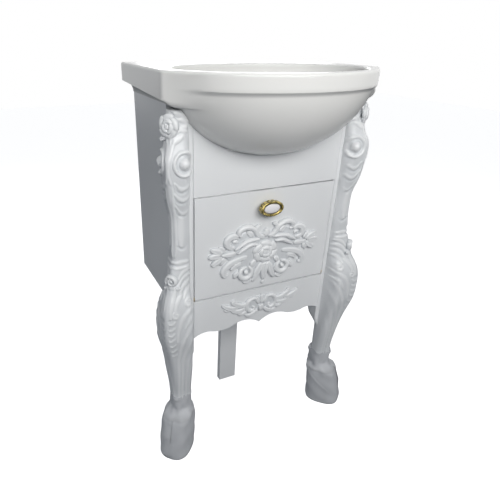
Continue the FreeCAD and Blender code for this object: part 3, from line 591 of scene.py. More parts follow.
def basin_angles():
    """Angles around the bowl that follow the rim in even steps, closer at the corners."""
    angle = np.linspace(-math.pi / 2, 1.5 * math.pi, FINE_ANGLES)
    edge = rim_reach(angle)
    x, y = edge * np.cos(angle), edge * np.sin(angle)
    step = np.hypot(np.diff(x), np.diff(y))
    corners = [(a, b - BOWL_Y) for b in (SLAB_FRONT, WALL) for a in (SLAB, -SLAB)]
    near = sum(np.exp(-(((x - a) ** 2 + (y - b) ** 2) / CORNER_NEAR**2)) for a, b in corners)
    walked = np.concatenate([[0], np.cumsum(step * (1 + CORNER_CLOSER * near[1:]))])
    return np.interp(np.linspace(0, walked[-1], BASIN_COLUMNS + 1), walked, angle)


def oval_reach(angle, half):
    """From an oval's middle to its edge."""
    return 1 / np.sqrt((np.cos(angle) / half[0]) ** 2 + (np.sin(angle) / half[1]) ** 2)


def bow_reach(angle, half, inset=0.0):
    """From the bowl's middle to an oval in front, and to the straight flanks between it and the slab's corners."""
    c, s = np.abs(np.cos(angle)), np.maximum(-np.sin(angle), 0)
    side, fore = (SLAB - inset) / half[0], (BOWL_Y - SLAB_FRONT) / half[1]
    touch = np.arctan2(fore, side) + np.arccos(1 / np.maximum(np.hypot(side, fore), 1))
    flank = 1 / (c * np.cos(touch) / half[0] + s * np.sin(touch) / half[1])
    return np.where(np.arctan2(s / half[1], c / half[0]) > touch, oval_reach(angle, half), flank)


def slab_reach(angle, inset=0.0, back=0.0, bow=None):
    """From the bowl's middle to the slab's edge, drawn in at the ends and at the back; a bow replaces its front."""
    c, s = np.abs(np.cos(angle)), np.sin(angle)
    end = (SLAB - inset) / np.maximum(c, 1e-4)
    far = (WALL - back - BOWL_Y) / np.maximum(s, 1e-4)
    near = (BOWL_Y - SLAB_FRONT) / np.maximum(-s, 1e-4) if bow is None else bow_reach(angle, bow, inset)
    return soft_min(end, np.where(s > 0, far, near), CORNER_ROUND)


def rim_reach(angle):
    """From the bowl's middle to the rim, with the bowed front."""
    return slab_reach(angle, bow=LIP_OUT)


def bowl_rows(angle, half, turns):
    """Rows on a half spheroid, from a round hole in its floor out to a turn, as distance and height."""
    rows = []
    for turn in turns:
        first = np.arcsin(WASTE / half[1])
        mixed = ease(first, first + FLOOR_BLEND, turn)
        reach = np.sin(turn) * (half[1] + (oval_reach(angle, half) - half[1]) * mixed)
        left = 1 - (reach / oval_reach(angle, half)) ** 2
        rows.append((reach, BOWL_Z - half[1] * np.sqrt(np.clip(left, 0, 1))))
    return rows


def bowl_girth(high):
    """Half length and half width of the bowl's outside at a height."""
    share = np.sqrt(np.clip(1 - ((BOWL_Z - high) / BOWL_OUT[1]) ** 2, 0, 1))
    return BOWL_OUT[0] * share, BOWL_OUT[1] * share


def bowl_underside(x, y):
    """Height of the bowl's outside over a place."""
    left = 1 - (x / BOWL_OUT[0]) ** 2 - ((y - BOWL_Y) / BOWL_OUT[1]) ** 2
    return BOWL_Z - BOWL_OUT[1] * np.sqrt(np.clip(left, 0, 1))


def outside_rows(angle, below):
    """Rows down the outside, from under the rim to the seat: slab edge and cove at the ends, lip and belly in front."""
    around = sizes().rim_round / MM
    outer = rim_reach(angle)
    along = np.clip((WALL - BOWL_Y - outer * np.sin(angle)) / (WALL - SLAB_FRONT), 0, 1)
    face = SLAB_FACES[0] + (SLAB_FACES[1] - SLAB_FACES[0]) * along
    fore = np.sin(angle) < 0
    edge = ease(*COVE_SWEEP, below) * fore
    belly = ease(*EDGE_SWEEP, below) * fore
    lip_share = ease(*LIP_SWEEP, below)
    places = [(around + (face - around) * share, 0.0 * angle) for share in np.linspace(0, 1, EDGE_ROWS)[1:]]
    for turn in np.linspace(0, math.pi / 2, COVE_ROWS)[1:]:
        s, c = math.sin(turn), math.cos(turn)
        drop = face + (RIM - SEAT - face) * ((1 - c) + (s + c - 1) * edge)
        places.append((drop, (SLAB - SEAT_HALF) * (s - (s + c - 1) * edge) * (1 - belly)))
    rows = []
    for drop, inset in places:
        high = RIM - drop
        under = slab_reach(angle, inset, bow=bowl_girth(high))
        bare = np.minimum(oval_reach(angle, bowl_girth(high)), under)
        under = under + (bare - under) * ease(BARE_FROM, RIM - SEAT, drop) * ease(*BARE_SWEEP, below) * fore
        lip = (1 - ease(0, LIP_TURN, RIM - LIP_LOW - high)) * lip_share
        top = 1 - ease(0, LIP_LOW, drop)
        hung = under + (np.maximum(outer, under) - under) * np.maximum(lip, top)
        rows.append((np.where(fore, hung, under), high))
    return rows


def basin_rows(angle):
    """All rows of the basin: up the inside of the bowl, over the rim, down the outside and back to the waste."""
    flat = np.ones_like(angle)
    floor_turn = np.arcsin(WASTE / BOWL_IN[1])
    rows = bowl_rows(angle, BOWL_IN, np.linspace(floor_turn, math.pi / 2, BOWL_ROWS))
    inner = oval_reach(angle, BOWL_IN)
    lip = RIM - BOWL_Z
    for turn in np.linspace(0, math.pi / 2, LIP_ROWS)[1:]:
        rows.append((inner + lip * (1 - math.cos(turn)), BOWL_Z + lip * math.sin(turn) * flat))
    around = sizes().rim_round / MM
    outer = rim_reach(angle)
    for share in np.linspace(0, 1, RIM_ROWS)[1:]:
        rows.append((inner + lip + (outer - around - inner - lip) * share, RIM * flat))
    for turn in np.linspace(0, math.pi / 2, ROUND_ROWS)[1:]:
        rows.append((outer - around + around * math.sin(turn), RIM - around + around * math.cos(turn) * flat))
    below = np.abs(np.arcsin(np.clip(-np.sin(angle), -1, 1)))
    rows += outside_rows(angle, below)

    # Behind the front corners the underside is open up to the deck; in front of them it is closed at the seat
    hollow = np.where(np.sin(angle) < 0, 1 - ease(*CLOSE_SWEEP, below), 1.0)
    edge = rows[-1][0]
    belly = np.minimum(oval_reach(angle, bowl_girth(SEAT)), edge)
    seat_turn = math.acos((BOWL_Z - SEAT) / BOWL_OUT[1])
    wall_in = SLAB - SEAT_HALF + SKIRT
    inside = np.minimum(np.maximum(slab_reach(angle, wall_in, SKIRT), belly), edge)
    outside = oval_reach(angle, BOWL_OUT)
    deck_share = math.sqrt(1 - ((BOWL_Z - RIM + DECK) / BOWL_OUT[1]) ** 2)
    deck_turn = np.arcsin(np.minimum(deck_share, inside / outside))
    deck_end = outside * np.sin(deck_turn)
    ceiling = BOWL_Z - BOWL_OUT[1] * np.cos(deck_turn)
    hidden = [(edge + (inside - edge) * share, SEAT * flat) for share in (0.5, 1.0)]
    hidden += [(inside, SEAT + (ceiling - SEAT) * share) for share in (0.3, 0.7, 1.0)]
    hidden += [(inside + (deck_end - inside) * share, ceiling) for share in np.linspace(0, 1, DECK_ROWS)[1:]]
    for step, (reach, high) in enumerate(hidden):
        shut = edge + (belly - edge) * (step + 1) / len(hidden)
        rows.append((shut + (reach - shut) * hollow, SEAT + (high - SEAT) * hollow))
    hole_turn = np.arcsin(WASTE / BOWL_OUT[1])
    for share in np.linspace(0, 1, UNDER_ROWS)[1:]:
        first = bowl_rows(angle, BOWL_OUT, [deck_turn + (hole_turn - deck_turn) * share])[0]
        second = bowl_rows(angle, BOWL_OUT, [seat_turn + (hole_turn - seat_turn) * share])[0]
        rows.append(tuple(second[k] + (first[k] - second[k]) * hollow for k in range(2)))
    rows.append(rows[0])
    return rows


def open_tap_hole(mesh):
    """Cut the tap hole through the deck."""
    loops = []
    for level in (RIM, RIM - DECK):
        inside = []
        for face in mesh.faces:
            at = face.calc_center_median() / MM
            if abs(at.z - level) < 1 and math.hypot(at.x, at.y - TAP_Y) < TAP:
                inside.append(face)
        edges = {edge for face in inside for edge in face.edges}
        border = [edge for edge in edges if sum(face in inside for face in edge.link_faces) == 1]
        for spot in {spot for edge in border for spot in edge.verts}:
            away = Vector((spot.co.x, spot.co.y - TAP_Y * MM, 0)).normalized() * TAP * MM
            spot.co.x = away.x
            spot.co.y = away.y + TAP_Y * MM
        bmesh.ops.delete(mesh, geom=inside, context="FACES")
        loops += border
    bmesh.ops.bridge_loops(mesh, edges=[edge for edge in loops if edge.is_valid])


def basin_mesh():
    """The basin as one sheet, closed at the waste hole."""
    mesh = new_mesh()
    angle = basin_angles()
    rows = basin_rows(angle)
    reach = np.array([row[0] for row in rows])
    high = np.array([row[1] for row in rows])

    def place(column, row):
        far = reach[row, column]
        x, y = far * np.cos(angle[column]), BOWL_Y + far * np.sin(angle[column])
        return with_painted_shade(np.column_stack([x, y, high[row, column]]))

    sheet(mesh, BASIN_COLUMNS, len(rows) - 1, place)
    open_tap_hole(mesh)
    return mesh


# Legs: sections are drawn from the cabinet's corner, outward and forward

# Height, and how far both carved faces stand out
RIDGE = (
    (0, 35), (61, 29), (104, 20.5), (144, 18.5), (165, 18.6), (180, 19.4), (195, 20.8), (210, 22.3), (225, 24),
    (240, 25.8), (255, 27.6), (270, 29.6), (290, 33), (310, 37.4), (330, 41.4), (345, 42.8), (360, 43.2), (394, 42.4),
    (410, 39.8), (425, 34.8), (438, 28.6), (450, 25), (464, 21), (483, 17), (500, 12.8), (522, 12), (545, 10.8),
    (561, 10.6), (596, 12), (612, 15.4), (628, 19), (650, 21.4), (664, 22.6), (690, 23.6), (707, 22.4), (725, 16),
    (737, 13), (760, 8.6), (786, 6),
)
# Height, and how far the carved faces reach inward
INNER = ((0, 10), (61, 14), (104, 22), (144, 25.5), (180, 25.5), (217, 26), (252, 26.6), (302, 27), (786, 27))
# Height, and how far the inner edges stand out less than the corner, at the foot and over the knee
TOE = (
    (0, 16), (61, 11.5), (104, 4), (144, 0), (190, -2), (215, -3), (275, -3), (320, -3.5), (350, -1.5), (380, 0.5),
    (420, 6), (445, 9), (470, 6), (500, 1), (520, 0), (540, 0), (786, 0),
)
# Height and width of the plain post behind the carving
POST = ((0, 0), (190, 17), (215, 20), (240, 28), (255, 35), (262, 37), (786, 37))
# Rounding of the corner and of the inner edges, at the ankle and along the post
RIDGE_ROUND = (15.0, 9.0)
STEP_ROUND = (15.0, 17.0)
# Heights between which the ankle goes over into the post
SHOULDER = (225.0, 300.0)
# Shares of the rounded edge between which the carving ends
CARVED_EDGE = (1.0, 0.6)
# Chamfer of the post where it meets the boards
JOINT = 1.6
# Room between a leg and the bowl over it
BOWL_GAP = 1.2
# Columns of half a section: corner, face, rounded edge, step, strip of the post and back
LEG_SPANS = (7, 44, 8, 5, 4, 4)
LEG_ROWS = 520
# Widening of the strokes on a leg, and how full their sections are
LEG_SWELL = 1.55
LEG_FULL = 0.8
# Shade of the carved faces, what a millimetre of relief takes off it, its limit, and the heights where it sets in
LEG_SHADE, SHADE_FALL, MOST_SHADE = 0.35, 0.22, 0.5
SHADE_RISE = (140.0, 170.0)

# Ball on each face: its place across and up, its radius and seat, and the ring and the moat around it
BALL_AT = (-12.0, 697.0)
BALL = 12.0
BALL_SINK = 5.5
RING = 20.5
RING_HALF = 3.8
MOAT = 1.4
MOAT_EDGE = (RING + 1, RING - 3)

# Strokes of a leg's face: across from the cabinet's corner and height, half width and rise
LEG_STROKES = (
    # Leaf over the corner beside the ring
    ([(4, 734), (9, 726), (15, 714), (20, 700), (21, 682), (16, 664)], 3.0, 2.2),
    ([(11, 742), (15, 728), (19, 710)], 2.4, 2.0),
    # Leaves and curl beside the rose
    ([(-1, 782), (-12, 779), (-23, 773), (-28, 765)], 4.6, 3.4),
    ([(-6, 771), (-15, 770), (-23, 765), (-21, 758), (-15, 760)], 3.4, 3.2),
    ([(-5, 758), (-13, 753), (-22, 751)], 3.6, 2.4),
    ([(5, 734), (-4, 740), (-14, 745)], 4.0, 3.0),
    ([(9, 741), (2, 748), (-7, 753)], 3.6, 2.6),
    ([(-27, 750), (-30, 738), (-31, 726)], 3.0, 2.0),
    # Husks under the ring
    ([(9, 664), (3, 655), (-6, 651), (-15, 653), (-23, 659)], 3.4, 2.0),
    ([(10, 644), (2, 634), (-8, 629), (-17, 632), (-24, 638)], 3.4, 2.0),
    ([(7, 620), (0, 607), (-9, 601), (-16, 603), (-22, 609)], 3.0, 1.8),
    # Thin leaf along the corner of the waist
    ([(13, 654), (10, 622), (6, 592), (4, 560), (5, 530), (8, 514)], 2.4, 1.8),
    # Tongue of the waist
    ([(-6, 596), (-6, 572), (-6, 552), (-6, 536)], 6.0, 2.6),
    # Collar over the knee
    ([(-22, 499), (-8, 500), (3, 500), (11, 501)], 3.0, 2.4),
    ([(-22, 489), (-8, 488), (5, 489), (14, 491)], 2.4, 2.4),
    # Acanthus of the knee, from the corner's volute inward
    ([(-25, 482), (-14, 482), (-4, 476), (5, 465)], 3.2, 2.4),
    ([(-27, 470), (-15, 470), (-3, 463), (7, 450)], 3.4, 2.4),
    ([(-28, 457), (-17, 457), (-6, 450), (3, 438)], 3.4, 2.4),
    ([(-28, 444), (-20, 444), (-11, 438), (-4, 428)], 3.0, 2.2),
    (curl((-13, 418), 9, 120, -1.2, 0.25), 2.8, 2.6),
    ([(12, 450), (17, 438), (23, 424), (29, 408), (31, 392)], 3.8, 2.2),
    ([(0, 436), (9, 428), (16, 417), (20, 404)], 3.4, 2.2),
    (curl((19, 398), 8, 110, -1.3, 0.2), 2.6, 2.4),
    ([(-30, 410), (-17, 404), (-1, 393), (9, 377), (15, 354), (17, 332)], 3.6, 2.2),
    ([(-33, 391), (-20, 388), (-9, 378), (0, 362)], 3.2, 2.0),
    # Ripples beside the corner of the knee
    ([(21, 384), (28, 379), (35, 382)], 2.6, 1.8),
    ([(22, 370), (29, 365), (36, 368)], 2.6, 1.8),
    ([(22, 356), (29, 351), (36, 354)], 2.6, 1.8),
    ([(22, 342), (29, 337), (36, 340)], 2.6, 1.8),
    ([(20, 326), (27, 321), (33, 324)], 2.6, 1.8),
    ([(17, 310), (24, 305), (30, 308)], 2.4, 1.7),
    ([(15, 295), (21, 291), (27, 293)], 2.4, 1.6),
    # Long reeds down to the ankle
    ([(-31, 386), (-19, 372), (-7, 352), (3, 330), (9, 304), (11, 270), (10, 235), (9, 190), (9, 152)], 3.4, 2.2),
    ([(-34, 366), (-25, 346), (-13, 322), (-5, 298), (1, 272), (2, 240), (1, 192), (0, 152)], 3.0, 1.9),
    ([(-34, 340), (-28, 318), (-19, 292), (-11, 264), (-8, 233), (-8, 190), (-8, 152)], 2.8, 1.6),
    ([(-30, 280), (-22, 258), (-17, 232), (-16, 190), (-16, 152)], 2.4, 1.2),
)
# Cuts under the husks, the tongue and the scrolls
NOTCHES = (
    [(7, 659), (2, 649), (-5, 644), (-13, 646), (-22, 652)],
    [(9, 639), (2, 628), (-8, 623), (-17, 626), (-23, 631)],
    [(6, 614), (-1, 601), (-9, 595), (-15, 597)],
    [(3, 536), (-5, 529), (-12, 529), (-18, 536)],
    [(7, 494), (12, 495)],
    [(18, 448), (24, 446)],
    [(30, 391), (36, 389)],
)
NOTCH_HALF = 2.2
NOTCH_DEEP = 1.8


def face_strokes(across, high, strokes):
    """Height of carved strokes over a leg's face, as the highest of them at each place."""
    rise = np.zeros_like(across)
    for points, half, tall in strokes:
        line = spline(points, 6 * len(points))
        low, top = line.min(axis=0) - LEG_SWELL * half, line.max(axis=0) + LEG_SWELL * half
        near = (across > low[0]) & (across < top[0]) & (high > low[1]) & (high < top[1])
        spots = np.column_stack([across[near], high[near]])
        if not len(spots):
            continue
        first, step = line[:-1], np.diff(line, axis=0)
        long = np.maximum((step**2).sum(axis=1), 1e-9)
        t = np.clip(((spots[:, None, :] - first) * step).sum(axis=2) / long, 0, 1)
        away = np.linalg.norm(spots[:, None, :] - first - t[:, :, None] * step, axis=2)
        best = away.argmin(axis=1)
        at = (best + t[np.arange(len(spots)), best]) / len(step)
        body = LEG_SWELL * half * (0.5 + 0.5 * np.sin(np.pi * np.clip(at, 0, 1) ** LEG_FULL))
        bulge = np.clip(1 - (away.min(axis=1) / body) ** 2, 0, 1) ** LEG_FULL
        rise[near] = np.maximum(rise[near], tall * bulge)
    return rise


def leg_relief(across, high):
    """Carving of one face of a leg, in millimetres out of the face."""
    depth = sizes().leg_relief
    rise = face_strokes(across, high, LEG_STROKES) * depth
    away = np.hypot(across - BALL_AT[0], high - BALL_AT[1])
    ball = np.sqrt(np.clip(BALL**2 - away**2, 0, BALL**2)) - BALL_SINK
    ring = RING_HALF * np.sqrt(np.clip(1 - ((away - RING) / RING_HALF) ** 2, 0, 1))
    moat = -MOAT * ease(*MOAT_EDGE, away)
    rise = np.maximum(np.maximum(rise, ring) + moat, ball)
    for line in NOTCHES:
        rise -= face_strokes(across, high, [(line, NOTCH_HALF, NOTCH_DEEP)]) * depth
    return rise


def leg_outline(at, high):
    """Half a section of a leg from its outer corner to the back of the post, at steps along it.

    Gives the place across and forward, the way out of the face, the way walked over the carved face and the share
    of carving there.
    """
    ridge, inner, toe = (through(high, *zip(*table)) for table in (RIDGE, INNER, TOE))
    post = np.maximum(np.interp(high, *zip(*POST)), inner)
    shoulder = ease(*SHOULDER, high)
    around = RIDGE_ROUND[0] + (RIDGE_ROUND[1] - RIDGE_ROUND[0]) * shoulder
    wide = STEP_ROUND[0] + (STEP_ROUND[1] - STEP_ROUND[0]) * shoulder
    deep = STEP_ROUND[0] + (ridge - STEP_ROUND[0]) * shoulder
    ends = np.cumsum(LEG_SPANS)
    corner, face, edge, wall, strip, back = (
        np.clip((at - end + span) / span, 0, 1) for end, span in zip(ends, LEG_SPANS)
    )
    turn = math.pi / 4 * (1 + corner)
    middle = ridge - around
    across = middle + around * np.cos(turn)
    forward = middle + around * np.sin(turn)
    walked = middle + around * (math.pi / 2 - turn)
    across -= face * (middle + inner - wide)
    walked -= face * (middle + inner - wide)
    bend = math.pi / 2 * edge
    across -= wide * np.sin(bend)
    walked -= wide * bend
    forward -= deep * (1 - np.cos(bend))
    forward -= toe * np.clip((ridge - across) / (ridge + inner), 0, 1) * ease(0.0, 1.0, face)
    forward *= 1 - wall
    across -= strip * (post - inner)
    forward -= JOINT * (strip >= 1)
    bow = math.pi / 4 * back
    across += (1 - shoulder) * post * (1 - np.cos(bow))
    forward -= post * (back + (np.sin(bow) - back) * (1 - shoulder))
    way = np.column_stack([np.cos(turn) * (1 - face) - np.sin(bend) * (face >= 1), np.sin(turn) * np.cos(bend)])
    carved = ease(*CARVED_EDGE, edge)
    return across, forward, way, walked, carved


def leg_sheet(mesh, side):
    """The shaft of a leg with its carved faces."""
    low, top = LEG_LOW[2], LEG_HIGH[2]
    half = sum(LEG_SPANS)

    def place(column, row):
        high = low + (top - low) * row / LEG_ROWS
        across, forward, way, walked, carved = leg_outline(np.abs(column - half), high)
        rise = leg_relief(walked, high) * carved
        hollow = np.clip(LEG_SHADE - SHADE_FALL * rise, 0, MOST_SHADE) * carved * ease(*SHADE_RISE, high)
        across, forward = across + way[:, 0] * rise, forward + way[:, 1] * rise
        front = column < half
        out, fore = np.where(front, across, forward), np.where(front, forward, across)
        x, y = side * (CORNER + out), FRONT - fore
        z = np.minimum(high, bowl_underside(x, y) - BOWL_GAP)
        return with_painted_shade(np.column_stack([x, y, z]), hollow)

    sheet(mesh, 2 * half, LEG_ROWS, place)
    borders = [edge for edge in mesh.edges if edge.is_boundary]
    bmesh.ops.holes_fill(mesh, edges=borders, sides=0)


def diagonal_face(side, out, fore, high):
    """A face that looks out over a leg's corner, placed from the cabinet's corner, outward and forward."""
    away = np.array([side, -1.0, 0.0]) / math.sqrt(2)
    right = np.array([side, 1.0, 0.0]) / math.sqrt(2)
    return Face((side * (CORNER + out), FRONT - fore, high), right, (0, 0, 1), away)


# Rings of petals: distance from the middle, petals, their reach in degrees, half width, rise and lift
ROSE_RINGS = ((12.5, 5, 92, 6.2, 5.0, 3.0), (7.0, 3, 150, 4.2, 4.6, 7.0))
BUD_RINGS = ((23.0, 6, 70, 9.0, 6.5, 1.5), (11.0, 4, 115, 6.4, 6.0, 4.5))
# Points along a petal, how much it opens from one end to the other, and the rise of the bud between the petals
PETAL_POINTS = 7
PETAL_OPEN = 0.16
BUD_RISE = 5.0


def petals(mesh, face, rings, tall, bud):
    """A bud between rings of wrapped petals."""
    share = np.linspace(-1, 1, PETAL_POINTS)
    for far, count, sweep, half, rise, lift in rings:
        for petal in range(count):
            turns = np.radians(90 + 360 * petal / count + share / 2 * sweep)
            reach = far * (1 + PETAL_OPEN * share)
            line = np.column_stack([reach * np.cos(turns), tall * reach * np.sin(turns)])
            stroke(mesh, face, line, half, rise, lift, root=0.8, tip=0.7)
    lift = max(ring[-1] for ring in rings) + 1
    heart = [(0, -bud), (0.1 * bud, 0), (0, bud)]
    stroke(mesh, face, heart, bud, BUD_RISE, lift, groove=0.3, root=0.7, tip=0.7)


# Places of the rose and of the scroll: outward and forward of the cabinet's corner, and height
ROSE_AT = (9.0, 3.0, 761.0)
SCROLL_AT = (15.0, 15.0, 465.0)
# The rose's height for its width, and its bud
ROSE_TALL = 1.25
ROSE_BUD = 4.6
# Strokes: points, half width, rise, lift, groove, and how wide they are at the root and the tip
ROSE_LEAVES = (
    ([(-3, -14), (0, -24), (5, -32)], 5.4, 5.0, 0.0, 0.4),
    ([(4, -13), (12, -21), (20, -25)], 5.0, 5.0, 0.0, 0.4),
)
SCROLL_STROKES = (
    (curl((0, 0), 13, -60, 1.45, 0.32, 16), 4.2, 8.0, 3.0, 0.0, 0.5, 0.5),
    ([(-3.5, 0), (0, 0.6), (3.5, 0)], 4.6, 8.0, 3.0),
    ([(-4, -12), (-12, -16), (-19, -12)], 4.0, 6.0, 1.0, 0.2),
    ([(4, -13), (11, -19), (19, -18)], 4.0, 6.0, 1.0, 0.2),
    ([(-2, -14), (0, -24), (-3, -36)], 4.4, 6.0, 2.0, 0.3),
)


def rose(mesh, side):
    """The rosebud on the top corner with two leaves under it."""
    face = diagonal_face(side, *ROSE_AT)
    petals(mesh, face, ROSE_RINGS, ROSE_TALL, ROSE_BUD)
    for leaf in ROSE_LEAVES:
        stroke(mesh, face, *leaf)


def volute(mesh, side):
    """The curled scroll over the knee, with its eye and its leaves."""
    face = diagonal_face(side, *SCROLL_AT)
    for part in SCROLL_STROKES:
        stroke(mesh, face, *part)


def leg_mesh(side):
    """A leg with its rose and its scroll."""
    mesh = new_mesh()
    leg_sheet(mesh, side)
    rose(mesh, side)
    volute(mesh, side)
    return mesh


# Foot covers

FOOT = (
    # height, middle from the cabinet's corner, half length, half width
    (0, 13.6, 43.5, 35.4), (5, 13.6, 44.6, 36.6), (12, 13.6, 44.8, 36.8), (60, 10, 41.5, 35.6), (95, 5, 38.5, 35),
    (104, 3, 37, 34.2), (110, -1, 32, 31), (122, -3.5, 28, 28), (158, -3.5, 28, 28),
)
# How square the foot is
FOOT_SQUARE = 2.6
# The neck follows the squarish ankle: its half width, how square it is, and the heights
# between which the cover closes around it
NECK = 23.6
NECK_SQUARE = 3.2
NECK_RISE = (104.0, 122.0)
COVER_COLUMNS = 120
# Height of the rounded sole and of the top, and rows up to them
SOLE, SOLE_ROWS = 14.0, 8
COVER_TOP, COVER_ROWS = 158.0, 72
# Heights between which the crumpling sets in over the floor
CRUMPLE_RISE = (0.0, 10.0)
# Height and spread of the fine folds, of the tucks at the top and of the dark crease, and the crease's shade
FOLDS = (112.0, 26.0)
TUCKS = (150.0, 5.0)
CREASE_AT = (104.0, 3.0)
COVER_SHADE = 0.5
# Where the sheet laps over itself: its thickness, and the heights between which it starts and ends
LAP = 1.2
LAP_START = (30.0, 60.0)
LAP_END = (120.0, 100.0)
# The top is turned in to a share of its width and a depth, and its edge waves up and down
TURN_IN = (0.86, 3.0)
WAVE = 2.5
WAVE_RISE = (148.0, 158.0)


def bell(at, middle, spread):
    """One at the middle, fading out over the spread."""
    return np.exp(-(((at - middle) / spread) ** 2))


def squareness(turn, power):
    """How far a squared circle reaches at an angle; the higher the power, the squarer it is."""
    return (np.abs(np.cos(turn)) ** power + np.abs(np.sin(turn)) ** power) ** (-1 / power)


def cover_mesh(side):
    """A crumpled grey cover around a foot."""
    mesh = new_mesh()
    high, middle, long, wide = (np.array(part, float) for part in zip(*FOOT))
    levels = np.concatenate([np.linspace(0, SOLE, SOLE_ROWS), np.linspace(SOLE, COVER_TOP, COVER_ROWS)[1:]])
    count = len(levels)
    fold = sizes().crumple / MM
    out = np.array([1.0, 1.0]) / math.sqrt(2)
    aside = np.array([1.0, -1.0]) / math.sqrt(2)

    def place(column, row):
        level = levels[np.clip(row - 1, 0, count - 1)]
        around = 2 * math.pi * column / COVER_COLUMNS
        reach = np.select([row == 0, row == count + 1, row == count + 2], [0.0, TURN_IN[0], 0.0], 1.0)
        # Slow folds all over, fine ones above the foot, and tucks at the top
        crumple = (
            np.sin(3 * around + level * 0.045) * np.sin(level * 0.09 + around)
            + 0.6 * np.sin(9 * around - level * 0.12) * bell(level, *FOLDS)
            + 2.2 * np.maximum(0, np.sin(2 * around + 1.6)) ** 6 * bell(level, *TUCKS)
        )
        lapped = ease(0.0, 0.05, np.sin(around * 0.5 + 0.012 * level))
        lap = LAP * lapped * ease(*LAP_START, level) * ease(*LAP_END, level)
        swell = fold * crumple * ease(*CRUMPLE_RISE, level) + lap
        x, y, centre = (np.interp(level, high, part) for part in (long, wide, middle))
        foot, neck = squareness(around, FOOT_SQUARE), squareness(around + math.pi / 4, NECK_SQUARE)
        tight = ease(*NECK_RISE, level)
        x, y = (part * foot + (NECK * neck - part * foot) * tight + swell for part in (x, y))
        spot = centre[:, None] * np.ones(2)
        spot = spot + (reach * np.cos(around) * x)[:, None] * out + (reach * np.sin(around) * y)[:, None] * aside
        wave = WAVE * np.sin(5 * around) * ease(*WAVE_RISE, level)
        rise = np.where(row > count, level - TURN_IN[1], level + wave)
        hollow = COVER_SHADE * bell(level, *CREASE_AT)
        return with_painted_shade(np.column_stack([side * (CORNER + spot[:, 0]), FRONT - spot[:, 1], rise]), hollow)

    sheet(mesh, COVER_COLUMNS, count + 2, place)
    return mesh


# Carvings of the door and of the apron

# Heights of the middles of the carvings and of the door's bud, and the rise of their grounds
DOOR_CARVING_Z, DOOR_GROUND_RISE = 487.0, 2.4
APRON_CARVING_Z, APRON_GROUND_RISE = 349.0, 2.0
BUD_Z = 484.0
# The bud's height for its width, and its heart
BUD_TALL = 0.8
BUD_HEART = 7.0

# Outlines of the grounds, and strokes: points across and up, half width, rise, lift and groove
DOOR_GROUND = (
    (100, 5), (86, 16), (78, 32), (60, 46), (38, 46), (18, 42), (0, 46), (-18, 42), (-38, 46), (-60, 46), (-78, 32),
    (-86, 16), (-100, 5), (-88, -10), (-80, -24), (-58, -38), (-36, -48), (-16, -48), (0, -60), (16, -48), (36, -48),
    (58, -38), (80, -24), (88, -10),
)
DOOR_STROKES = (
    # Cup over the middle
    ([(0, 32), (0, 41), (0, 51)], 8.5, 5.5, 1.5, 0.0),
    ([(3, 31), (17, 36), (25, 47), (22, 57), (13, 60)], 6.4, 7.0, 2.0, 0.2),
    # Arched scroll with its leaf
    ([(23, 34), (27, 49), (40, 58), (55, 59), (65, 52), (64, 43), (56, 42)], 6.8, 7.5, 1.5, 0.0),
    ([(33, 36), (39, 44), (48, 49)], 7.0, 6.0, 1.0, 0.3),
    # Thick leaf bent back on itself
    ([(64, 38), (79, 44), (91, 38), (92, 27), (84, 19), (73, 19)], 8.2, 7.5, 1.0, 0.25),
    ([(68, 30), (75, 32), (81, 30)], 5.4, 6.0, 1.0, 0.0),
    # Sweeps side by side
    ([(15, 30), (44, 29), (62, 21), (76, 12)], 5.6, 8.0, 3.0, 0.0),
    ([(20, 19), (40, 19), (56, 11), (70, 2)], 5.6, 8.0, 3.0, 0.0),
    # Flower at the end
    ([(70, 6), (88, 4), (106, 5)], 6.4, 6.5, 1.5, 0.2),
    ([(103, 7), (116, 16), (130, 22)], 8.2, 7.0, 1.5, 0.35),
    ([(106, 5), (120, 6), (135, 5)], 8.0, 7.0, 2.0, 0.35),
    ([(103, 2), (116, -8), (128, -16)], 8.2, 7.0, 1.5, 0.35),
    ([(97, 10), (105, 20), (112, 25)], 6.0, 6.0, 0.5, 0.3),
    ([(97, 0), (103, -9), (107, -18)], 6.0, 6.0, 0.5, 0.3),
    # Hooked leaf
    ([(40, -8), (66, -12), (88, -21), (99, -34), (96, -45), (87, -44)], 7.8, 7.0, 1.0, 0.25),
    ([(56, -21), (72, -26), (83, -36)], 6.4, 6.0, 0.5, 0.3),
    # Round leaf with its eye
    (curl((46, -47), 15, 110, 1.0, 0.85, 12), 7.2, 7.5, 1.5, 0.0),
    ([(41, -47), (46, -46), (51, -47)], 7.0, 8.0, 1.5, 0.0),
    ([(62, -40), (70, -48), (72, -58)], 6.0, 6.0, 0.5, 0.3),
    ([(30, -62), (40, -70), (52, -69)], 6.4, 6.0, 0.5, 0.3),
    # Tulip under the middle
    ([(0, -28), (0, -50), (0, -73)], 9.6, 7.0, 2.0, 0.45),
    ([(7, -29), (15, -44), (20, -59), (29, -73)], 8.4, 7.0, 2.0, 0.3),
    ([(22, -20), (31, -28), (31, -38)], 6.6, 6.5, 1.5, 0.2),
    ([(0, -75), (0, -80), (0, -85)], 5.2, 5.0, 0.0, 0.0),
)

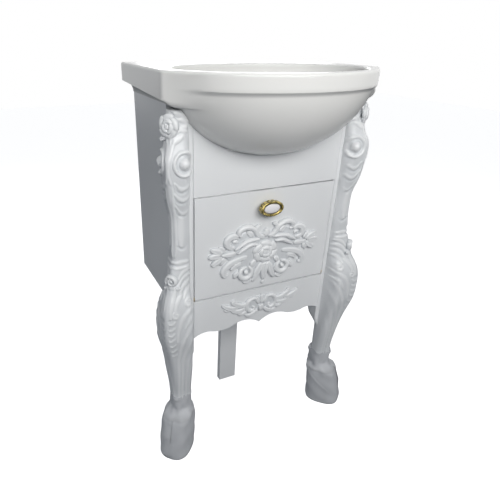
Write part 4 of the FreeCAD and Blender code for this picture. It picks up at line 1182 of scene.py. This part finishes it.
APRON_GROUND = (
    (66, 8), (50, 12), (30, 14), (14, 20), (0, 22), (-14, 20), (-30, 14), (-50, 12), (-66, 8), (-56, -4), (-42, -15),
    (-22, -17), (0, -14), (22, -17), (42, -15), (56, -4),
)
APRON_STROKES = (
    # Shell over the middle
    ([(0, 2), (0, 14), (0, 26)], 5.2, 5.5, 1.5, 0.2),
    ([(5, 2), (11, 13), (14, 23)], 5.2, 5.5, 1.5, 0.2),
    # Scroll beside it
    ([(10, 12), (20, 19), (32, 15), (38, 3), (34, -9), (24, -13), (18, -6), (24, 0)], 5.6, 6.0, 1.5, 0.0),
    # Leaf sprays out to the tips
    ([(34, 8), (50, 6), (64, 12), (73, 20), (68, 25)], 7.0, 6.0, 1.0, 0.3),
    ([(58, 4), (74, 4), (88, 10), (100, 19)], 7.0, 6.0, 1.0, 0.35),
    ([(40, -2), (54, -7), (68, -5), (78, 1)], 6.4, 5.5, 1.0, 0.3),
    ([(76, 1), (86, 1), (95, 6)], 5.0, 5.0, 0.0, 0.3),
    # Round lobes at the foot
    ([(8, -12), (18, -20), (31, -24), (42, -19)], 6.4, 6.0, 1.0, 0.2),
    ([(36, -10), (46, -16), (56, -13), (60, -6)], 6.0, 5.5, 0.5, 0.2),
    ([(0, 0), (0, -9), (0, -19)], 7.4, 6.0, 2.0, 0.3),
)


def front_face(high):
    """The front of the door and the apron, at a height."""
    return Face((0, FRONT, high), (1, 0, 0), (0, 0, 1), (0, -1, 0))


def door_carving_mesh():
    """The carving on the door: its ground, the bud and the strokes around it."""
    mesh = new_mesh()
    face = front_face(DOOR_CARVING_Z)
    plate(mesh, face, DOOR_GROUND, DOOR_GROUND_RISE)
    petals(mesh, front_face(BUD_Z), BUD_RINGS, BUD_TALL, BUD_HEART)
    mirrored_strokes(mesh, face, DOOR_STROKES)
    return mesh


def apron_carving_mesh():
    """The carving on the apron."""
    mesh = new_mesh()
    face = front_face(APRON_CARVING_Z)
    plate(mesh, face, APRON_GROUND, APRON_GROUND_RISE)
    mirrored_strokes(mesh, face, APRON_STROKES)
    return mesh


# Knob

KNOB_ROWS = (
    # share of the oval, distance from the door, share of the ornament
    (0.00, 0.0, 0), (0.66, 0.0, 0), (0.69, 1.2, 0), (0.64, 2.6, 0), (0.60, 4.0, 0), (0.70, 5.6, 0.2), (0.90, 7.2, 0.8),
    (0.97, 9.5, 1), (0.96, 12.5, 1), (0.99, 15.5, 1), (1.0, 17.5, 0.8), (0.98, 19.5, 0.4), (0.94, 20.8, 0.1),
    (0.87, 21.2, 0), (0.80, 20.7, 0), (0.765, 19.4, 0), (0.755, 17.6, 0), (0.5, 17.0, 0), (0.0, 17.0, 0),
)
# Steps around the knob, rows from one given row to the next, and the largest share of the oval
KNOB_COLUMNS = 160
KNOB_FINE = 4
KNOB_FULL = 0.985
# Lobes around the knob, the depth of the cuts between them, their edges and their shade
KNOB_LOBES = 16
LOBE_CUT = 0.08
LOBE_EDGE = (0.7, 0.15)
LOBE_SHADE = 0.95
# How much narrower and lower the knob's opening is than its outline, where that sets in, and its shaded part
KNOB_OPENING = (0.07, 0.17)
OPENING_FROM = (0.88, 0.78)
OPENING_EDGE = (0.82, 0.76)
OPENING_SHADE = 0.8
# Beads on the frame: count, share of the oval, distance from the door, radius, columns and rows
BEADS = 30
BEAD_SHARE, BEAD_OUT, BEAD = 0.865, 20.4, 1.5
BEAD_COLUMNS, BEAD_ROWS = 8, 6
# Cabochon: share of the oval, distance of its edge and of its back from the door, and its dome
CABOCHON = 0.752
CABOCHON_EDGE, CABOCHON_BACK = 17.6, 17.2
DOME = 3.8


def knob_oval():
    """Middle height of the knob and half its width and height."""
    return (KNOB_LOW[2] + KNOB_HIGH[2]) / 2, (KNOB_HIGH[0] - KNOB_LOW[0]) / 2, (KNOB_HIGH[2] - KNOB_LOW[2]) / 2


def knob_spots(share, around, out):
    """Places on the knob, whose opening is flatter than its outline."""
    middle, wide, tall = knob_oval()
    drawn = ease(*OPENING_FROM, share)
    across = wide * share * (1 - KNOB_OPENING[0] * drawn) * np.cos(around)
    up = tall * share * (1 - KNOB_OPENING[1] * drawn) * np.sin(around)
    return front_face(middle).spots(across, up, out)


def knob_body_mesh():
    """The lobed frame of the knob with its neck and its beads."""
    mesh = new_mesh()
    share, out, carved = spline(KNOB_ROWS, KNOB_FINE * (len(KNOB_ROWS) - 1) + 1).T
    share, carved = np.clip(share, 0, KNOB_FULL), np.clip(carved, 0, 1)

    def place(column, row):
        around = 2 * math.pi * column / KNOB_COLUMNS
        lobe = np.abs(np.sin(KNOB_LOBES / 2 * around))
        far = share[row] * (1 - LOBE_CUT * carved[row] * (1 - lobe))
        cuts = LOBE_SHADE * carved[row] * ease(*LOBE_EDGE, lobe)
        opening = OPENING_SHADE * ease(*OPENING_EDGE, share[row])
        return with_painted_shade(knob_spots(far, around, out[row]), np.maximum(cuts, opening))

    sheet(mesh, KNOB_COLUMNS, len(share) - 1, place)
    for bead in range(BEADS):
        around = 2 * math.pi * bead / BEADS
        middle = knob_spots(*np.array([[BEAD_SHARE], [around], [BEAD_OUT]]))[0]
        at = Face(middle, (1, 0, 0), (0, 0, 1), (0, -1, 0))

        def bead_spot(column, row, at=at):
            turn = math.pi * row / BEAD_ROWS
            spin = 2 * math.pi * column / BEAD_COLUMNS
            far = BEAD * np.sin(turn)
            return with_painted_shade(at.spots(far * np.cos(spin), far * np.sin(spin), BEAD * np.cos(turn)))

        sheet(mesh, BEAD_COLUMNS, BEAD_ROWS, bead_spot)
    return mesh


def knob_insert_mesh():
    """The porcelain cabochon in the knob."""
    mesh = new_mesh()
    columns, rows, skin = 96, 20, 16

    def place(column, row):
        around = 2 * math.pi * column / columns
        share = np.where(row <= skin, row / skin, (rows - row) / (rows - skin))
        dome = CABOCHON_EDGE + DOME * np.sqrt(np.clip(1 - share**2, 0, 1))
        out = np.where(row <= skin, dome, CABOCHON_BACK)
        return with_painted_shade(knob_spots(CABOCHON * share, around, out))

    sheet(mesh, columns, rows, place)
    return mesh


# Operators, one for each group of pieces

SIDES = {"left": -1, "right": 1}


class VANITY_OT_basin(bpy.types.Operator):
    """Lay the glazed basin with its bow, lip and coved ends"""

    bl_idname = "vanity.basin"
    bl_label = "Basin"

    def execute(self, context):
        add_piece("glazed_basin", basin_mesh(), "cabinet", "basin_glaze", ["basin"], crisp=0.6)
        return {"FINISHED"}


class VANITY_OT_legs(bpy.types.Operator):
    """Carve the two cabriole legs"""

    bl_idname = "vanity.legs"
    bl_label = "Carved legs"

    def execute(self, context):
        for name, side in SIDES.items():
            add_piece("carved_leg_" + name, leg_mesh(side), "cabinet", "painted_wood", ["front_leg_" + name])
        return {"FINISHED"}


class VANITY_OT_foot_covers(bpy.types.Operator):
    """Wrap the feet in their grey covers"""

    bl_idname = "vanity.foot_covers"
    bl_label = "Foot covers"

    def execute(self, context):
        for name, side in SIDES.items():
            add_piece("wrapped_foot_" + name, cover_mesh(side), "cabinet", "cover_foam", ["foot_cover_" + name])
        return {"FINISHED"}


class VANITY_OT_carvings(bpy.types.Operator):
    """Carve the scrolls and leaves on the door and on the apron"""

    bl_idname = "vanity.carvings"
    bl_label = "Door and apron carvings"

    def execute(self, context):
        add_piece("scrolled_door_carving", door_carving_mesh(), "door", "painted_wood", ["door_carving"], crisp=1.1)
        add_piece(
            "scrolled_apron_carving", apron_carving_mesh(), "cabinet", "painted_wood", ["apron_carving"], crisp=1.1
        )
        return {"FINISHED"}


class VANITY_OT_knob(bpy.types.Operator):
    """Make the gilt knob and its cabochon"""

    bl_idname = "vanity.knob"
    bl_label = "Knob"

    def execute(self, context):
        add_piece("gilt_knob", knob_body_mesh(), "door", "gilt_brass", ["knob_body"])
        add_piece("porcelain_cabochon", knob_insert_mesh(), "door", "knob_glaze", ["knob_insert"])
        return {"FINISHED"}


class VANITY_OT_finishes(bpy.types.Operator):
    """Give the boards and the hardware of the frame their finishes"""

    bl_idname = "vanity.finishes"
    bl_label = "Finishes of boards and hardware"

    def execute(self, context):
        slots = {part["node"]: part["material_slot"] for part in frame["record"]["subparts"]}
        for name, piece in frame["nodes"].items():
            for place in piece.material_slots:
                place.material = finish_of(slots[name])
        return {"FINISHED"}


# Camera: place in millimetres, turns in radians, lens and shift
CAMERA_AT = (-459.7, -782.6, 896.4)
CAMERA_TURN = math.radians(24.157)
CAMERA_DIP = math.radians(26.21)
CAMERA_ROLL = 0.0123
CAMERA_LENS = 31.34
CAMERA_SENSOR = 36.0
CAMERA_SHIFT = (0.084, 0.0046)

# Name, place, aim, size, power and colour of each lamp
LAMPS = (
    ("front_lamp", (-0.1, -1.15, 1.28), (0.0, 0.0, 0.6), (1.5, 0.6), 15.5, (1.0, 0.99, 0.97)),
    ("side_lamp", (-1.7, 0.1, 0.5), (-0.2, 0.1, 0.45), (0.9, 0.9), 2.0, (0.94, 0.97, 1.0)),
    ("deck_lamp", (0.0, 0.3, 2.2), (0.0, 0.0, 0.85), (0.8, 0.8), 4.4, (1.0, 1.0, 1.0)),
    ("back_lamp", (0.9, 1.9, 1.1), (0.0, 0.1, 0.5), (1.2, 0.9), 9.0, (1.0, 1.0, 1.0)),
)
# Strength and colour of the room's light, the floor's glow towards the camera, and half the floor's width
FILL = 0.16
FILL_COLOUR = (0.86, 0.92, 1.0)
FLOOR_GLOW = 0.8
FLOOR_HALF = 6.0
BLACK, WHITE = (0.0, 0.0, 0.0, 1.0), (1.0, 1.0, 1.0, 1.0)


class VANITY_OT_stage(bpy.types.Operator):
    """Set the floor, the lamps and the camera"""

    bl_idname = "vanity.stage"
    bl_label = "Stage"

    def add_lamp(self, name, at, towards, size, power, colour):
        data = bpy.data.lights.new(name, "AREA")
        data.shape = "RECTANGLE"
        data.size, data.size_y = size
        data.energy = power
        data.color = colour
        lamp = bpy.data.objects.new(name, data)
        lamp.location = at
        lamp.rotation_euler = (Vector(towards) - Vector(at)).to_track_quat("-Z", "Y").to_euler()
        bpy.context.scene.collection.objects.link(lamp)

    def add_floor(self):
        mesh = bmesh.new()
        bmesh.ops.create_grid(mesh, x_segments=8, y_segments=8, size=FLOOR_HALF)
        data = bpy.data.meshes.new("studio_floor")
        mesh.to_mesh(data)
        mesh.free()
        floor = bpy.data.objects.new("studio_floor", data)
        bpy.context.scene.collection.objects.link(floor)
        finish = Finish("studio_floor")
        seen = finish.node("ShaderNodeLightPath", {}, {}, "Is Camera Ray")
        finish.set(
            Base_Color=finish.blend(seen, rgba(colours().floor_bounce), rgba(colours().floor)),
            Emission_Color=finish.blend(seen, BLACK, WHITE),
            Roughness=0.9,
            Emission_Strength=FLOOR_GLOW,
        )
        data.materials.append(finish.material)

    def add_world(self):
        world = bpy.data.worlds.new("studio_world")
        bpy.context.scene.world = world
        world.use_nodes = True
        world.node_tree.nodes.clear()
        room = Finish("studio_world", world.node_tree)
        white = room.node("ShaderNodeBackground", {}, {"Color": WHITE, "Strength": 1.0})
        fill = room.node("ShaderNodeBackground", {}, {"Color": rgba(FILL_COLOUR), "Strength": FILL})
        seen = sum(
            room.node("ShaderNodeLightPath", {}, {}, f"Is {kind} Ray") for kind in ("Camera", "Glossy", "Transmission")
        )
        surface = room.node("ShaderNodeMixShader", {}, {0: seen, 1: fill, 2: white})
        room.node("ShaderNodeOutputWorld", {}, {"Surface": surface}, None)

    def add_camera(self):
        data = bpy.data.cameras.new("photo_camera")
        data.sensor_width = CAMERA_SENSOR
        data.lens = CAMERA_LENS
        data.shift_x, data.shift_y = CAMERA_SHIFT
        data.dof.use_dof = False
        camera = bpy.data.objects.new("photo_camera", data)
        ahead = Vector((
            math.sin(CAMERA_TURN) * math.cos(CAMERA_DIP), math.cos(CAMERA_TURN) * math.cos(CAMERA_DIP),
            -math.sin(CAMERA_DIP)
        ))
        right = Vector((math.cos(CAMERA_TURN), -math.sin(CAMERA_TURN), 0))
        up = right.cross(ahead)
        tilted = math.cos(CAMERA_ROLL) * right + math.sin(CAMERA_ROLL) * up
        raised = -math.sin(CAMERA_ROLL) * right + math.cos(CAMERA_ROLL) * up
        turn = Matrix((tilted, raised, -ahead)).transposed()
        camera.matrix_world = Matrix.Translation(Vector(CAMERA_AT) * MM) @ turn.to_4x4()
        bpy.context.scene.collection.objects.link(camera)
        bpy.context.scene.camera = camera

    def execute(self, context):
        context.scene.view_settings.view_transform = "Standard"
        self.add_floor()
        self.add_world()
        for lamp in LAMPS:
            self.add_lamp(*lamp)
        self.add_camera()
        return {"FINISHED"}


STEPS = (
    VANITY_OT_basin,
    VANITY_OT_legs,
    VANITY_OT_foot_covers,
    VANITY_OT_carvings,
    VANITY_OT_knob,
    VANITY_OT_finishes,
    VANITY_OT_stage,
)


class VANITY_PT_steps(bpy.types.Panel):
    """Steps of the vanity unit's looks"""

    bl_idname = "VANITY_PT_steps"
    bl_label = "Carved Vanity Unit"
    bl_space_type = "VIEW_3D"
    bl_region_type = "UI"
    bl_category = "Vanity"

    def draw(self, context):
        for step in STEPS:
            self.layout.operator(step.bl_idname)


CLASSES = (VanitySizes, VanityColours, *STEPS, VANITY_PT_steps)


def register():
    for item in CLASSES:
        bpy.utils.register_class(item)
    bpy.types.Scene.vanity_sizes = bpy.props.PointerProperty(type=VanitySizes)
    bpy.types.Scene.vanity_colours = bpy.props.PointerProperty(type=VanityColours)


def unregister():
    del bpy.types.Scene.vanity_colours
    del bpy.types.Scene.vanity_sizes
    for item in reversed(CLASSES):
        bpy.utils.unregister_class(item)


def main():
    register()
    bpy.ops.vanity.basin()
    bpy.ops.vanity.legs()
    bpy.ops.vanity.foot_covers()
    bpy.ops.vanity.carvings()
    bpy.ops.vanity.knob()
    bpy.ops.vanity.finishes()
    bpy.ops.vanity.stage()


if __name__ == "__main__":
    main()
